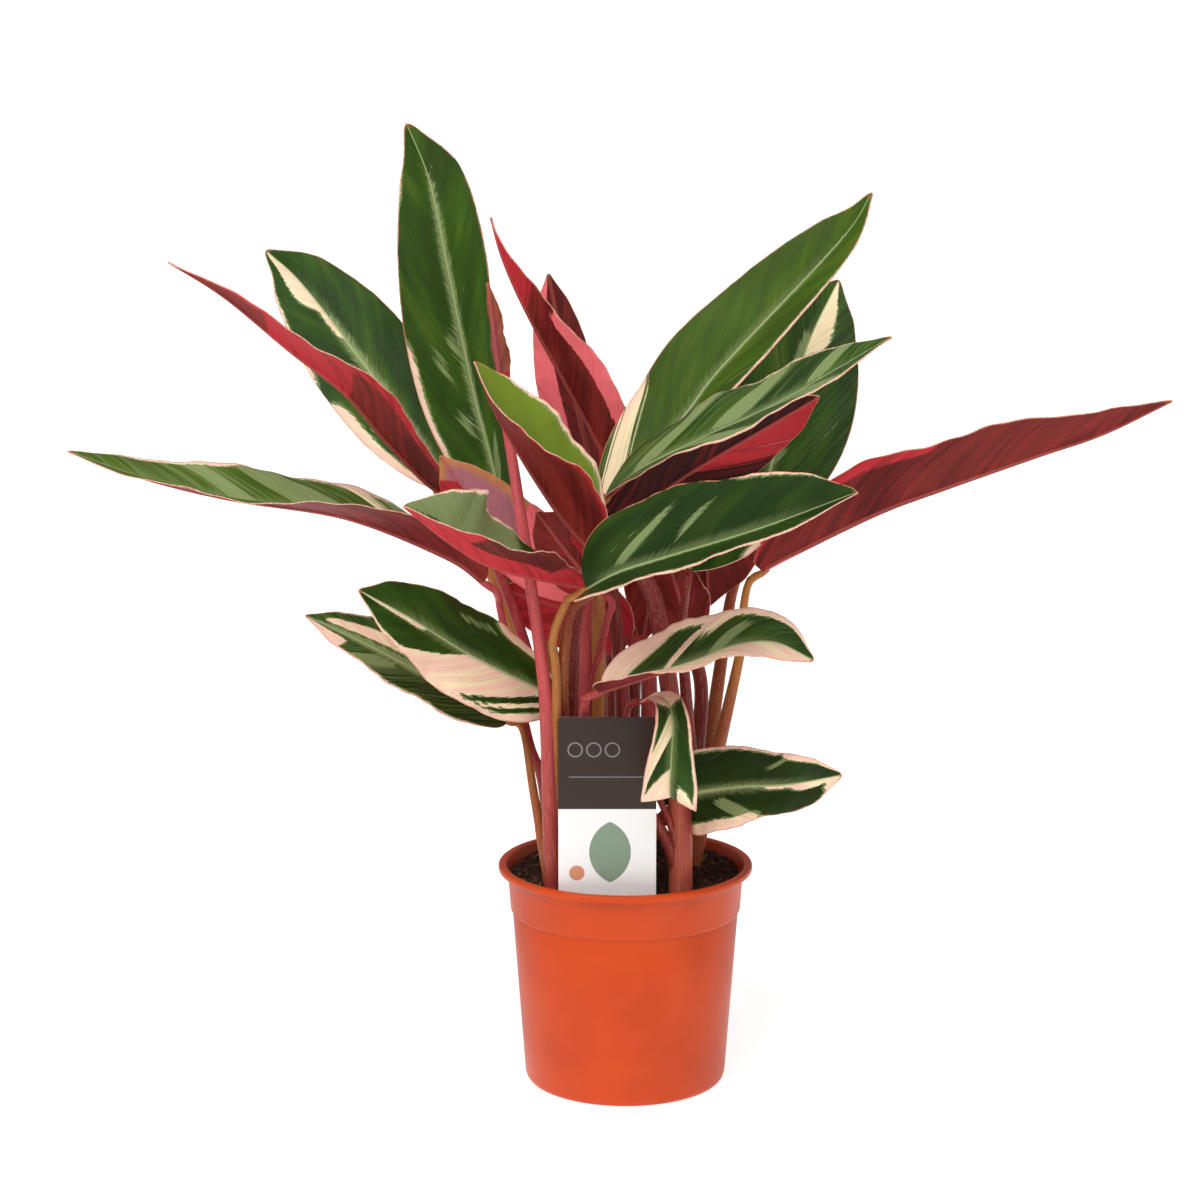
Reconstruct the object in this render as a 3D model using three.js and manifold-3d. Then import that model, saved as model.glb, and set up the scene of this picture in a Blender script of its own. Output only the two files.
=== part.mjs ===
// Stromanthe 'Triostar' in a round nursery pot. Millimetres, +Z up, origin on the
// table under the middle of the pot. +X is the plant's right hand side, -Y its front.
import * as THREE from 'three';
import { mergeVertices } from 'three/addons/utils/BufferGeometryUtils.js';
import Module from 'manifold-3d';

const wasm = await Module();
wasm.setup();

// Driving dimensions.
const clearance = 0.3;
const pot = {
  height: 149,
  rimRadius: 85,
  rimDepth: 5,
  rimFoot: 139.5,
  rimInnerRadius: 80,
  rimEdge: 1.2,
  baseRadius: 63,
  heelRadius: 65.6,
  heelHeight: 0.9,
  footRadius: 67.5,
  footHeight: 5,
  wallSlope: 0.0732,
  wall: 1.6,
  floor: 3,
  stepBottom: 116,
  stepTop: 119,
  stepRise: 1.2,
  sides: 48,
};
const soil = {
  top: 140,
  edgeRise: 1,
  edgeWidth: 16,
  holeDepth: 36,
  holeSides: 16,
};
const card = {
  left: -44,
  right: 19.4,
  top: 261.6,
  shoulder: 142.5,
  shoulderDrop: 1,
  stakeWidth: 22,
  stakeTip: 88,
  stakePoint: 12,
  frontY: -60.4,
  thickness: 0.8,
  corner: 2,
};
const blade = {
  thickness: 0.8,
  midribExtra: 0.7,
  gap: 0.5,
  baseHalf: 1.6,
  tipHalf: 0.5,
  longLength: 150,
  longRows: 12,
  shortRows: 10,
  longColumns: 3,
  shortColumns: 2,
  endCrowding: 0.5,
  tipStart: 0.86,
  tipNarrowing: 0.42,
  sideLag: 1.7,
};
const stalk = {
  sides: 6,
  stepLength: 24,
  leadIn: 12,
  start: 131,
};
const crown = {
  rise: 8,
  topShare: 0.75,
  sides: 12,
};
const cutPast = 10; // how far a cutting tool runs past the surface

// Every leafy shoot stands at a place in the soil and carries its leaves. A leaf has its
// stalk's route between the soil and the blade, the stalk's radius at both ends, and its
// midrib's route from base to tip. half is the half width left and right of the midrib,
// looking to the tip with the upper side up. face is where the upper side looks, fold the
// angle by which each half rises from it, curl how much that angle changes towards the
// margin, wave the margin's height, count and phase, and outline where the blade is
// widest and how blunt it is. shows is the side that is mostly seen. Lists run from base
// to tip, and what a leaf leaves out is as usual.
const usual = {
  shows: 'upper',
  fold: [[10], [10]],
  curl: [-10, -10],
  wave: [2, 3, 0],
  outline: [0.8, 0.6],
};
const shoots = [
  {
    name: 'stalks_front_left',
    at: [-47, -40],
    radius: 8,
    leaves: [
      {
        name: 'leaf_rolled_tip',
        shows: 'under',
        stalk: [[-49, -46, 176], [-52, -52, 271], [-62, -58, 354], [-71, -40, 412]],
        thick: [5.2, 3.2],
        midrib: [[-79, -3, 452], [-82, 2, 472], [-90, 5, 535]],
        half: [9, 9],
        face: [[0.3, 1, 0.3]],
        fold: [[40], [40]],
        curl: [30, 30],
      },
      {
        name: 'leaf_low_left',
        stalk: [[-48, -31, 223]],
        thick: [4.0, 2.2],
        midrib: [[-47, -10, 264], [-98, -48, 298], [-137, -80, 330], [-167, -103, 352]],
        half: [36, 33],
        face: [[0, -1, 0.7]],
        fold: [[14], [8]],
        curl: [-15, -20],
        outline: [0.75, 0.55],
      },
      {
        name: 'leaf_lowest_left',
        stalk: [[-60, -28, 200]],
        thick: [4.0, 2.2],
        midrib: [[-78, -10, 247], [-122, -22, 275], [-163, -38, 302], [-206, -50, 326]],
        half: [23, 28],
        face: [[0, -0.8, 1]],
      },
      {
        name: 'leaf_long_left',
        stalk: [[-54, -14, 202], [-64, -2, 231], [-76, 5, 286], [-83, -1, 322]],
        thick: [4.0, 2.3],
        midrib: [
          [-93, -15, 341], [-117, -25, 360], [-179, -40, 388], [-251, -53, 402], [-304, -60, 416],
          [-352, -65, 434],
        ],
        half: [33, 33],
        face: [[0, -0.22, 1]],
        fold: [[70, 62, 34, 27, 24, 16], [22, 16, 17, 27, 22, 16]],
        curl: [-10, 0],
        outline: [0.75, 0.6],
      },
      {
        name: 'leaf_front_right',
        stalk: [[-45, -55, 278], [-47, -65, 313], [-38, -80, 341]],
        thick: [4.0, 2.5],
        midrib: [
          [-26, -88, 349], [-5, -107, 364], [25, -125, 377], [79, -160, 400], [134, -190, 426],
        ],
        half: [40, 40],
        face: [[-0.15, -0.8, 0.75]],
        fold: [[35], [40]],
        curl: [-12, -5],
        outline: [0.7, 0.5],
      },
    ],
  },
  {
    name: 'stalks_middle',
    at: [-26, 5],
    radius: 12.5,
    leaves: [
      {
        name: 'leaf_front_left',
        stalk: [
          [-40, -12, 167], [-40, -29, 226], [-41, -48, 277], [-39, -56, 311], [-35, -57, 332],
        ],
        thick: [4.5, 3.5],
        midrib: [[-28, -54, 345], [-79, -105, 366], [-106, -125, 384], [-136, -138, 410]],
        half: [38, 45],
        face: [[0, -0.4, 1]],
        fold: [[45], [30, 27, 33, 46, 52, 50]],
        curl: [-5, -5],
        outline: [1.15, 0.6],
      },
      {
        name: 'leaf_folded_mid',
        shows: 'under',
        stalk: [[-35, -6, 165], [-36, -32, 273], [-30, -50, 336]],
        thick: [5.6, 4.1],
        midrib: [[-18, -55, 363], [-42, -60, 392], [-79, -75, 454], [-95, -80, 492]],
        half: [37, 37],
        face: [[0.82, -0.26, 0.52]],
        fold: [[80, 84, 70, 50, 28, 20], [60, 62, 60, 60, 55, 50]],
        curl: [-5, -5],
      },
      {
        name: 'leaf_dark_right',
        shows: 'under',
        stalk: [[-27, 0, 164], [-26, -12, 309]],
        thick: [5.4, 3.8],
        midrib: [[-15, -6, 375], [16, -5, 394], [48, -9, 417], [124, -21, 464]],
        half: [35, 35],
        face: [[-0.3, 0.9, 0.4]],
        fold: [[12], [12]],
      },
      {
        name: 'leaf_striped_right',
        stalk: [[-19, 2, 163], [-18, -14, 269], [-18, -25, 351]],
        thick: [5.4, 3.8],
        midrib: [
          [-14, -27, 398], [10, -42, 420], [52, -60, 444], [93, -72, 465], [163, -88, 508],
        ],
        half: [32, 32],
        face: [[0, -0.4, 1]],
        fold: [[20], [20]],
      },
      {
        name: 'leaf_purple_mid',
        shows: 'under',
        stalk: [[-32, 8, 161], [-30, 4, 299]],
        thick: [4.9, 3.5],
        midrib: [[-27, 4, 326], [-63, -12, 358], [-94, -30, 393], [-119, -42, 428]],
        half: [28, 28],
        face: [[-0.2, 0.8, 0.6]],
        fold: [[20], [20]],
      },
      {
        name: 'leaf_inner_mid',
        shows: 'under',
        stalk: [
          [-32, -12, 194], [-28, -10, 235], [-23, -14, 269], [-16, -24, 302], [-12, -37, 323],
        ],
        thick: [3.6, 2.3],
        midrib: [[-17, -45, 342], [-31, -45, 357], [-58, -30, 390]],
        half: [22, 22],
        face: [[-0.2, 0.9, 0.4]],
        fold: [[15], [15]],
      },
    ],
  },
  {
    name: 'stalks_front_right',
    at: [36, -41],
    radius: 9,
    leaves: [
      {
        name: 'leaf_hanging_mid',
        shows: 'under',
        stalk: [[35, -41, 202], [29, -36, 267], [24, -36, 301], [18, -30, 333]],
        thick: [7.4, 5.5],
        midrib: [[9, -20, 357], [13, 10, 362], [16, 30, 345], [15, 36, 314], [11, 30, 292]],
        half: [20, 20],
        face: [[0, -0.5, 1], [0, 0.5, 1], [0, 1, 0.3], [0, 1, 0]],
      },
      {
        name: 'leaf_low_right',
        stalk: [
          [29, -44, 169], [9, -48, 204], [-12, -50, 227], [-23, -49, 245], [-27, -52, 262],
          [-26, -65, 275],
        ],
        thick: [4.0, 2.5],
        midrib: [
          [-17, -75, 281], [39, -102, 306], [67, -112, 319], [91, -118, 322], [115, -120, 311],
        ],
        half: [31, 31],
        face: [[-0.1, -0.6, 0.8]],
        fold: [[18], [70, 58, 48, 40, 28, 14]],
        curl: [-12, -10],
        outline: [0.7, 0.5],
      },
      {
        name: 'leaf_curled_front',
        stalk: [[32, -46, 176], [19, -46, 210], [1, -38, 249]],
        thick: [2.6, 2.0],
        midrib: [
          [9, -48, 269], [18, -61, 275], [26, -77, 274], [29, -89, 265], [28, -96, 245],
          [27, -97, 225], [28, -89, 216], [30, -79, 220], [32, -74, 233],
        ],
        half: [19.5, 19.5],
        face: [
          [-0.3, -0.2, 1], [0.1, -0.5, 1], [0.1, -0.9, 0.5], [0, -1, 0.1], [0, -1, 0],
          [0, -1, -0.1], [0, 0, -1], [0, 0.8, -0.4], [0, 1, 0],
        ],
        fold: [[10, 25, 52, 50, 38, 22, 10], [10, 25, 45, 45, 34, 20, 10]],
        outline: [1.9, 0.5],
      },
      {
        name: 'leaf_lowest_right',
        stalk: [[38, -38, 173], [34, -28, 181]],
        thick: [3.4, 2.2],
        midrib: [
          [29, -24, 192], [36, -28, 201], [73, -60, 215], [104, -80, 222], [136, -92, 231],
        ],
        half: [29, 29],
        face: [[0, -1, 0.15], [0, -1, 0.5], [0, -1, 0.8], [0, -1, 0.8]],
        fold: [[5], [10]],
        outline: [0.6, 0.45],
      },
    ],
  },
  {
    name: 'stalks_right',
    at: [42, 22],
    radius: 10,
    leaves: [
      {
        name: 'leaf_long_right',
        shows: 'under',
        stalk: [[75, 6, 285], [77, 3, 314]],
        thick: [6.2, 2.3],
        midrib: [
          [90, 0, 345], [100, -4, 353], [161, -25, 388], [203, -40, 407], [260, -55, 430],
          [300, -62, 445], [342, -65, 466],
        ],
        half: [36, 36],
        face: [[-0.4, 0.3, 0.85]],
        fold: [[25], [65, 62, 55, 45]],
        outline: [0.7, 0.6],
      },
      {
        name: 'leaf_back_right',
        stalk: [[47, 32, 162], [57, 42, 218], [68, 66, 287], [74, 76, 320], [84, 76, 346]],
        thick: [6.4, 3.0],
        midrib: [[90, 70, 370], [109, 90, 436], [127, 115, 487], [148, 130, 528]],
        half: [46, 46],
        face: [[0, -1, 0.5]],
        fold: [[35], [10]],
      },
      {
        name: 'leaf_hanging_right',
        shows: 'under',
        stalk: [[45, 20, 165], [43, 12, 225], [37, -12, 303], [38, -22, 329]],
        thick: [6.2, 2.2],
        midrib: [[41, -24, 350], [45, 5, 366], [50, 38, 366], [55, 60, 342], [57, 62, 311]],
        half: [29, 53],
        face: [[0, -0.7, 0.7], [0, 0, 1], [0, 0.8, 0.5], [0, 1, 0.1]],
        outline: [0.8, 0.65],
      },
      {
        name: 'leaf_inner_right',
        shows: 'under',
        stalk: [[43, 24, 164], [51, 22, 255]],
        thick: [6.0, 4.5],
        midrib: [[42, 16, 300], [37, 14, 321], [27, 7, 355]],
        half: [20, 20],
        face: [[0.3, 1, 0]],
      },
    ],
  },
  {
    name: 'stalks_centre',
    at: [1, 18],
    radius: 12.5,
    leaves: [
      {
        name: 'leaf_tall_right',
        stalk: [[-1, 14, 160], [-3, 14, 270], [-14, 15, 365]],
        thick: [5.9, 4.2],
        midrib: [[-12, 15, 391], [37, 25, 444], [64, 32, 478], [141, 45, 559], [162, 45, 591]],
        half: [38, 38],
        face: [[-0.2, -1, 0.5], [0.1, -1, 0.4]],
        fold: [[8], [55]],
        curl: [-12, -5],
        outline: [0.72, 0.6],
      },
      {
        name: 'leaf_spear_mid',
        shows: 'under',
        stalk: [[-5, 24, 157], [-7, 34, 224], [-9, 48, 284], [-10, 56, 351]],
        thick: [5.7, 3.9],
        midrib: [[-9, 58, 405], [-25, 52, 437], [-63, 23, 511], [-79, 9, 548], [-87, 1, 577]],
        half: [34, 34],
        face: [[0.5, 0.85, 0.2]],
        fold: [[10], [60]],
        outline: [0.55, 1.2],
      },
      {
        name: 'leaf_spear_rear',
        shows: 'under',
        stalk: [[-9, 30, 155], [-12, 48, 207], [-16, 72, 279], [-19, 86, 339]],
        thick: [5.4, 3.6],
        midrib: [[-21, 90, 394], [-43, 90, 490], [-52, 90, 535]],
        half: [26, 26],
        face: [[0.1, 1, 0.1]],
        fold: [[60], [20]],
      },
      {
        name: 'leaf_rear_right',
        stalk: [[6, 50, 256]],
        thick: [6.2, 3.9],
        midrib: [[10, 54, 345], [15, 82, 364], [35, 154, 398], [46, 188, 405]],
        half: [33, 33],
        face: [[0, -0.35, 1]],
        fold: [[12], [12]],
        curl: [-12, -12],
        outline: [0.75, 0.6],
      },
      {
        name: 'leaf_inner_left',
        shows: 'under',
        stalk: [[14, 18, 214], [16, 19, 262], [14, 20, 286]],
        thick: [6.8, 5.1],
        midrib: [[4, 21, 296], [-24, 28, 310], [-83, 15, 332]],
        half: [28, 28],
        face: [[0, 1, 0.15]],
      },
    ],
  },
  {
    name: 'stalks_back_left',
    at: [-20, 40],
    radius: 10,
    leaves: [
      {
        name: 'leaf_tall_left',
        stalk: [[-49, 38, 265]],
        thick: [5.3, 3.6],
        midrib: [
          [-82, 30, 386], [-92, 35, 427], [-102, 42, 465], [-118, 45, 544], [-129, 42, 599],
          [-143, 34, 636],
        ],
        half: [38, 38],
        face: [[0.25, -1, 0.2], [0.1, -1, 0.2]],
        fold: [[5, 5, 10, 26, 38], [82, 80, 70, 42, 5]],
        curl: [-15, -15],
        wave: [1.5, 2, 0],
        outline: [0.8, 0.5],
      },
      {
        name: 'leaf_back_left',
        stalk: [[-29, 42, 152], [-44, 42, 209], [-91, 44, 339]],
        thick: [5.0, 3.4],
        midrib: [[-117, 62, 394], [-146, 75, 433], [-216, 112, 520], [-246, 118, 549]],
        half: [36, 40],
        face: [[0.1, -1, 0.5], [-0.1, -1, 0.6]],
        fold: [[12], [8]],
        curl: [-15, -15],
        outline: [0.85, 0.55],
      },
      {
        name: 'leaf_rear_left',
        stalk: [[-27, 44, 152], [-43, 54, 255]],
        thick: [4.6, 2.9],
        midrib: [[-61, 52, 317], [-80, 84, 343], [-120, 150, 389], [-135, 182, 410]],
        half: [29, 29],
        face: [[0.1, -0.5, 1]],
        fold: [[12], [12]],
        curl: [-12, -12],
        outline: [0.75, 0.6],
      },
      {
        name: 'leaf_twisted_left',
        shows: 'under',
        stalk: [[-31, 36, 154], [-60, 14, 270], [-79, 8, 332], [-97, 2, 373]],
        thick: [4.8, 3.1],
        midrib: [
          [-114, -2, 394], [-131, -8, 407], [-156, -24, 437], [-179, -45, 469], [-211, -65, 498],
          [-249, -78, 532], [-283, -82, 554],
        ],
        half: [31, 31],
        face: [[0.5, 0.12, 0.8]],
        fold: [[42, 36, 24], [25]],
        wave: [1.5, 2.5, 0.2],
        outline: [0.7, 0.9],
      },
    ],
  },
];

const colours = {
  pot: [0xc4522a, 0.45],
  soil: [0x2a1d16, 0.95],
  card: [0x4a484c, 0.4],
  stalk: [0xb04a58, 0.5],
  upper: [0x3c6b2c, 0.4],
  under: [0x8a2a3c, 0.45],
};

function material(kind) {
  const [color, roughness] = colours[kind];
  return new THREE.MeshStandardMaterial({ color, roughness, metalness: 0 });
}

const plant = new THREE.Group();

function addMesh(name, geometry, kind) {
  const mesh = new THREE.Mesh(geometry, material(kind));
  mesh.name = name;
  plant.add(mesh);
}

// Geometry to a solid that can be joined and cut, and back.
function toSolid(geometry) {
  const bare = geometry.clone();
  bare.deleteAttribute('normal');
  bare.deleteAttribute('uv');
  const merged = mergeVertices(bare, 1e-3);
  return new wasm.Manifold(new wasm.Mesh({
    numProp: 3,
    vertProperties: Float32Array.from(merged.attributes.position.array),
    triVerts: Uint32Array.from(merged.index.array),
  }));
}

function toGeometry(solid) {
  const mesh = solid.getMesh();
  const geometry = new THREE.BufferGeometry();
  geometry.setAttribute('position', new THREE.Float32BufferAttribute(mesh.vertProperties, 3));
  geometry.setIndex(Array.from(mesh.triVerts));
  geometry.computeVertexNormals();
  return geometry;
}

// A profile of [radius, height] points turned about the pot's axis.
function turned(points, sides) {
  const profile = points.map(([radius, height]) => new THREE.Vector2(radius, height));
  return new THREE.LatheGeometry(profile, sides).rotateX(Math.PI / 2);
}

function upright(radiusTop, radiusBottom, [x, y], bottom, top, sides) {
  const post = new THREE.CylinderGeometry(radiusTop, radiusBottom, top - bottom, sides);
  return post.rotateX(Math.PI / 2).translate(x, y, (top + bottom) / 2);
}

// The pot: a tapered wall, a step to a slightly wider band, and a lip that flares out.
function wallRadius(height) {
  return pot.footRadius + (height - pot.footHeight) * pot.wallSlope;
}

function potGeometry() {
  const lipFoot = pot.height - pot.rimDepth;
  const inside = (height) => wallRadius(height) - pot.wall;
  return turned([
    [0, 0],
    [pot.baseRadius, 0],
    [pot.heelRadius, pot.heelHeight],
    [pot.footRadius, pot.footHeight],
    [wallRadius(pot.stepBottom), pot.stepBottom],
    [wallRadius(pot.stepTop) + pot.stepRise, pot.stepTop],
    [wallRadius(pot.rimFoot) + pot.stepRise, pot.rimFoot],
    [pot.rimRadius - pot.rimEdge, lipFoot],
    [pot.rimRadius, lipFoot + pot.rimEdge],
    [pot.rimRadius, pot.height - pot.rimEdge],
    [pot.rimRadius - pot.rimEdge, pot.height],
    [pot.rimInnerRadius, pot.height],
    [pot.rimInnerRadius - pot.rimEdge, pot.height - pot.rimEdge],
    [inside(pot.rimFoot), pot.rimFoot],
    [inside(pot.footHeight), pot.footHeight],
    [pot.baseRadius, pot.floor],
    [0, pot.floor],
  ], pot.sides);
}

function soilGeometry() {
  const edge = soil.top + soil.edgeRise;
  const inside = (height) => wallRadius(height) - pot.wall - clearance;
  let bulk = toSolid(turned([
    [0, pot.floor + clearance],
    [pot.baseRadius - clearance, pot.floor + clearance],
    [inside(pot.footHeight), pot.footHeight + clearance],
    [inside(edge), edge],
    [inside(edge) - soil.edgeWidth, soil.top],
    [0, soil.top],
  ], pot.sides));
  const holeBottom = soil.top - soil.holeDepth;
  for (const { at, radius } of shoots) {
    const reach = radius + clearance;
    const hole = upright(reach, reach, at, holeBottom, soil.top + cutPast, soil.holeSides);
    bulk = bulk.subtract(toSolid(hole));
  }
  const slotBottom = card.stakeTip - clearance;
  const slotTop = soil.top + cutPast;
  const slot = new THREE.BoxGeometry(
    card.stakeWidth + 2 * clearance,
    card.thickness + 2 * clearance,
    slotTop - slotBottom,
  );
  slot.translate(
    (card.left + card.right) / 2,
    card.frontY + card.thickness / 2,
    (slotTop + slotBottom) / 2,
  );
  return toGeometry(bulk.subtract(toSolid(slot)));
}

// The care card: a plain rectangle on a pointed stake.
function cardGeometry() {
  const middle = (card.left + card.right) / 2;
  const stake = card.stakeWidth / 2;
  const outline = new THREE.Shape();
  outline.moveTo(card.left + card.corner, card.top);
  outline.lineTo(card.left, card.top - card.corner);
  outline.lineTo(card.left, card.shoulder);
  outline.lineTo(middle - stake, card.shoulder - card.shoulderDrop);
  outline.lineTo(middle - stake, card.stakeTip + card.stakePoint);
  outline.lineTo(middle, card.stakeTip);
  outline.lineTo(middle + stake, card.stakeTip + card.stakePoint);
  outline.lineTo(middle + stake, card.shoulder - card.shoulderDrop);
  outline.lineTo(card.right, card.shoulder);
  outline.lineTo(card.right, card.top - card.corner);
  outline.lineTo(card.right - card.corner, card.top);
  const plate = new THREE.ExtrudeGeometry(outline, { depth: card.thickness, bevelEnabled: false });
  return plate.rotateX(Math.PI / 2).translate(0, card.frontY + card.thickness, 0);
}

function curveThrough(points) {
  return new THREE.CatmullRomCurve3(points, false, 'catmullrom', 0.5);
}

function toVectors(points) {
  return points.map((point) => new THREE.Vector3(...point));
}

// The value at t of a list that runs evenly from base to tip.
function along(list, t) {
  const place = t * (list.length - 1);
  const first = Math.min(Math.floor(place), list.length - 1);
  const second = Math.min(first + 1, list.length - 1);
  return THREE.MathUtils.lerp(list[first], list[second], place - first);
}

function faceAlong(faces, t) {
  const units = toVectors(faces).map((face) => face.normalize());
  const axes = ['x', 'y', 'z'];
  return new THREE.Vector3(...axes.map((axis) => along(units.map((unit) => unit[axis]), t)));
}

// The blade's half width at t, as a share of the widest.
function widthShare(t, [peak, bluntness]) {
  const body = Math.sin(Math.PI * t ** peak) ** bluntness;
  return body * (1 - blade.tipNarrowing * THREE.MathUtils.smoothstep(t, blade.tipStart, 1));
}

function bladeGrid(leaf) {
  const spine = curveThrough(toVectors(leaf.midrib));
  const length = spine.getLength();
  const isLong = length > blade.longLength;
  const rows = isLong ? blade.longRows : blade.shortRows;
  const columns = isLong ? blade.longColumns : blade.shortColumns;
  const grid = [];
  for (let row = 0; row <= rows; row += 1) {
    const even = row / rows;
    const t = even - blade.endCrowding * Math.sin(2 * Math.PI * even) / (2 * Math.PI);
    const place = (blade.gap + t * (length - blade.gap)) / length;
    const centre = spine.getPointAt(place);
    const tangent = spine.getTangentAt(place);
    const normal = faceAlong(leaf.face, t);
    normal.addScaledVector(tangent, -normal.dot(tangent)).normalize();
    const across = new THREE.Vector3().crossVectors(tangent, normal);
    const least = THREE.MathUtils.lerp(blade.baseHalf, blade.tipHalf, t);
    const line = [];
    for (const side of [0, 1]) {
      const width = Math.max(leaf.half[side] * widthShare(t, leaf.outline), least);
      const half = [];
      let out = 0;
      let rise = 0;
      for (let step = 1; step <= columns; step += 1) {
        const share = step / columns;
        const turn = along(leaf.fold[side], t) + leaf.curl[side] * (share - 0.5 / columns);
        out += Math.cos(THREE.MathUtils.degToRad(turn)) * width / columns;
        rise += Math.sin(THREE.MathUtils.degToRad(turn)) * width / columns;
        const [height, count, phase] = leaf.wave;
        const swing = 2 * Math.PI * (count * t + phase) + side * blade.sideLag;
        const ripple = height * share * share * Math.sin(swing) * Math.sin(Math.PI * t);
        const point = centre.clone().addScaledVector(across, (side ? 1 : -1) * out);
        half.push(point.addScaledVector(normal, rise + ripple));
      }
      line.push(half);
    }
    grid.push([...line[0].reverse(), centre, ...line[1]]);
  }
  return grid;
}

// A closed thin slab on a grid of points, thicker under the middle column.
function slabOnGrid(grid) {
  const rows = grid.length - 1;
  const columns = grid[0].length - 1;
  const clampRow = (row) => Math.min(Math.max(row, 0), rows);
  const clampColumn = (column) => Math.min(Math.max(column, 0), columns);
  const upper = [];
  const lower = [];
  for (let row = 0; row <= rows; row += 1) {
    for (let column = 0; column <= columns; column += 1) {
      const ahead = grid[clampRow(row + 1)][column].clone().sub(grid[clampRow(row - 1)][column]);
      const beside = grid[row][clampColumn(column + 1)].clone();
      beside.sub(grid[row][clampColumn(column - 1)]);
      const normal = new THREE.Vector3().crossVectors(beside, ahead).normalize();
      const isMidrib = column === columns / 2 && row > 0 && row < rows;
      const drop = blade.thickness / 2 + (isMidrib ? blade.midribExtra : 0);
      upper.push(grid[row][column].clone().addScaledVector(normal, blade.thickness / 2));
      lower.push(grid[row][column].clone().addScaledVector(normal, -drop));
    }
  }
  const count = upper.length;
  const at = (row, column) => row * (columns + 1) + column;
  const faces = [];
  for (let row = 0; row < rows; row += 1) {
    for (let column = 0; column < columns; column += 1) {
      const [a, b] = [at(row, column), at(row, column + 1)];
      const [c, d] = [at(row + 1, column), at(row + 1, column + 1)];
      const [k1, k2, k3, k4] = [a, b, c, d].map((corner) => corner + count);
      if (column < columns / 2) {
        faces.push(a, b, c, b, d, c, k1, k3, k2, k2, k3, k4);
      } else {
        faces.push(a, b, d, a, d, c, k1, k4, k2, k1, k3, k4);
      }
    }
  }
  const rim = [];
  for (let column = 0; column < columns; column += 1) rim.push(at(0, column));
  for (let row = 0; row < rows; row += 1) rim.push(at(row, columns));
  for (let column = columns; column > 0; column -= 1) rim.push(at(rows, column));
  for (let row = rows; row > 0; row -= 1) rim.push(at(row, 0));
  rim.forEach((here, index) => {
    const next = rim[(index + 1) % rim.length];
    faces.push(here, here + count, next, next, here + count, next + count);
  });
  const geometry = new THREE.BufferGeometry().setFromPoints([...upper, ...lower]);
  geometry.setIndex(faces);
  geometry.computeVertexNormals();
  return geometry;
}

// A stalk: a round section along its route that ends in line with the blade's midrib.
function stalkGeometry(leaf, [x, y]) {
  const midrib = toVectors(leaf.midrib);
  const lead = midrib[0].clone().sub(midrib[1]).setLength(stalk.leadIn);
  const route = [
    new THREE.Vector3(x, y, stalk.start),
    ...toVectors(leaf.stalk),
    midrib[0].clone().add(lead),
    midrib[0],
  ];
  const curve = curveThrough(route);
  const steps = Math.ceil(curve.getLength() / stalk.stepLength);
  const [thick, thin] = leaf.thick;
  const section = new THREE.Shape().absarc(0, 0, thick, 0, 2 * Math.PI);
  const geometry = new THREE.ExtrudeGeometry(section, {
    steps,
    extrudePath: curve,
    curveSegments: stalk.sides / 2,
  });
  taper(geometry, curve.getSpacedPoints(steps), thin / thick);
  return geometry;
}

// Narrows a swept section towards the path's end.
function taper(geometry, centres, endShare) {
  const position = geometry.attributes.position;
  const point = new THREE.Vector3();
  for (let index = 0; index < position.count; index += 1) {
    point.fromBufferAttribute(position, index);
    const distances = centres.map((centre) => centre.distanceTo(point));
    const nearest = distances.indexOf(Math.min(...distances));
    const share = THREE.MathUtils.lerp(1, endShare, nearest / (centres.length - 1));
    point.sub(centres[nearest]).multiplyScalar(share).add(centres[nearest]);
    position.setXYZ(index, point.x, point.y, point.z);
  }
}

function shootGeometry({ at, radius, leaves }) {
  const foot = soil.top - soil.holeDepth + clearance;
  const head = soil.top + crown.rise;
  let bundle = toSolid(upright(radius * crown.topShare, radius, at, foot, head, crown.sides));
  for (const leaf of leaves) bundle = bundle.add(toSolid(stalkGeometry(leaf, at)));
  return toGeometry(bundle);
}

addMesh('pot', potGeometry(), 'pot');
addMesh('soil', soilGeometry(), 'soil');
addMesh('care_card', cardGeometry(), 'card');
for (const shoot of shoots) {
  addMesh(shoot.name, shootGeometry(shoot), 'stalk');
  for (const given of shoot.leaves) {
    const leaf = { ...usual, ...given };
    addMesh(leaf.name, slabOnGrid(bladeGrid(leaf)), leaf.shows);
  }
}

export default plant;
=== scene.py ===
# Stromanthe 'Triostar' in a nursery pot. Lengths are in millimetres until they meet a mesh.
import math
import random

import bmesh
import bpy
from mathutils import Matrix, Vector, noise


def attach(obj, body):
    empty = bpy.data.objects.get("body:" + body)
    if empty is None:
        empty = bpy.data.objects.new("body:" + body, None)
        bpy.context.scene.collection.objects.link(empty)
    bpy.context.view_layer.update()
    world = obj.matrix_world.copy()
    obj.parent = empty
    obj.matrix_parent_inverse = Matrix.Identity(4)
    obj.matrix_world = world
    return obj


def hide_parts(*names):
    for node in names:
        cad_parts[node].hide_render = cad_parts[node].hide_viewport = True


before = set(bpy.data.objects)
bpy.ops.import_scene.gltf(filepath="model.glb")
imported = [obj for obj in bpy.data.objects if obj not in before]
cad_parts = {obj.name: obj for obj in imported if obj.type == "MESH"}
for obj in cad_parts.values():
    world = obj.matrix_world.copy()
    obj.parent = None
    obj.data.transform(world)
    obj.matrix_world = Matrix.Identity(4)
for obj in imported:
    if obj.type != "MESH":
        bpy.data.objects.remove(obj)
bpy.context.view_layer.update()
mm = 0.001


def tone(code):
    # "#rrggbb" as the linear colour that sockets take
    parts = [int(code[start:start + 2], 16) / 255 for start in (1, 3, 5)]
    light = [part / 12.92 if part < 0.04045 else ((part + 0.055) / 1.055) ** 2.4 for part in parts]
    return (*light, 1.0)


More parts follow.
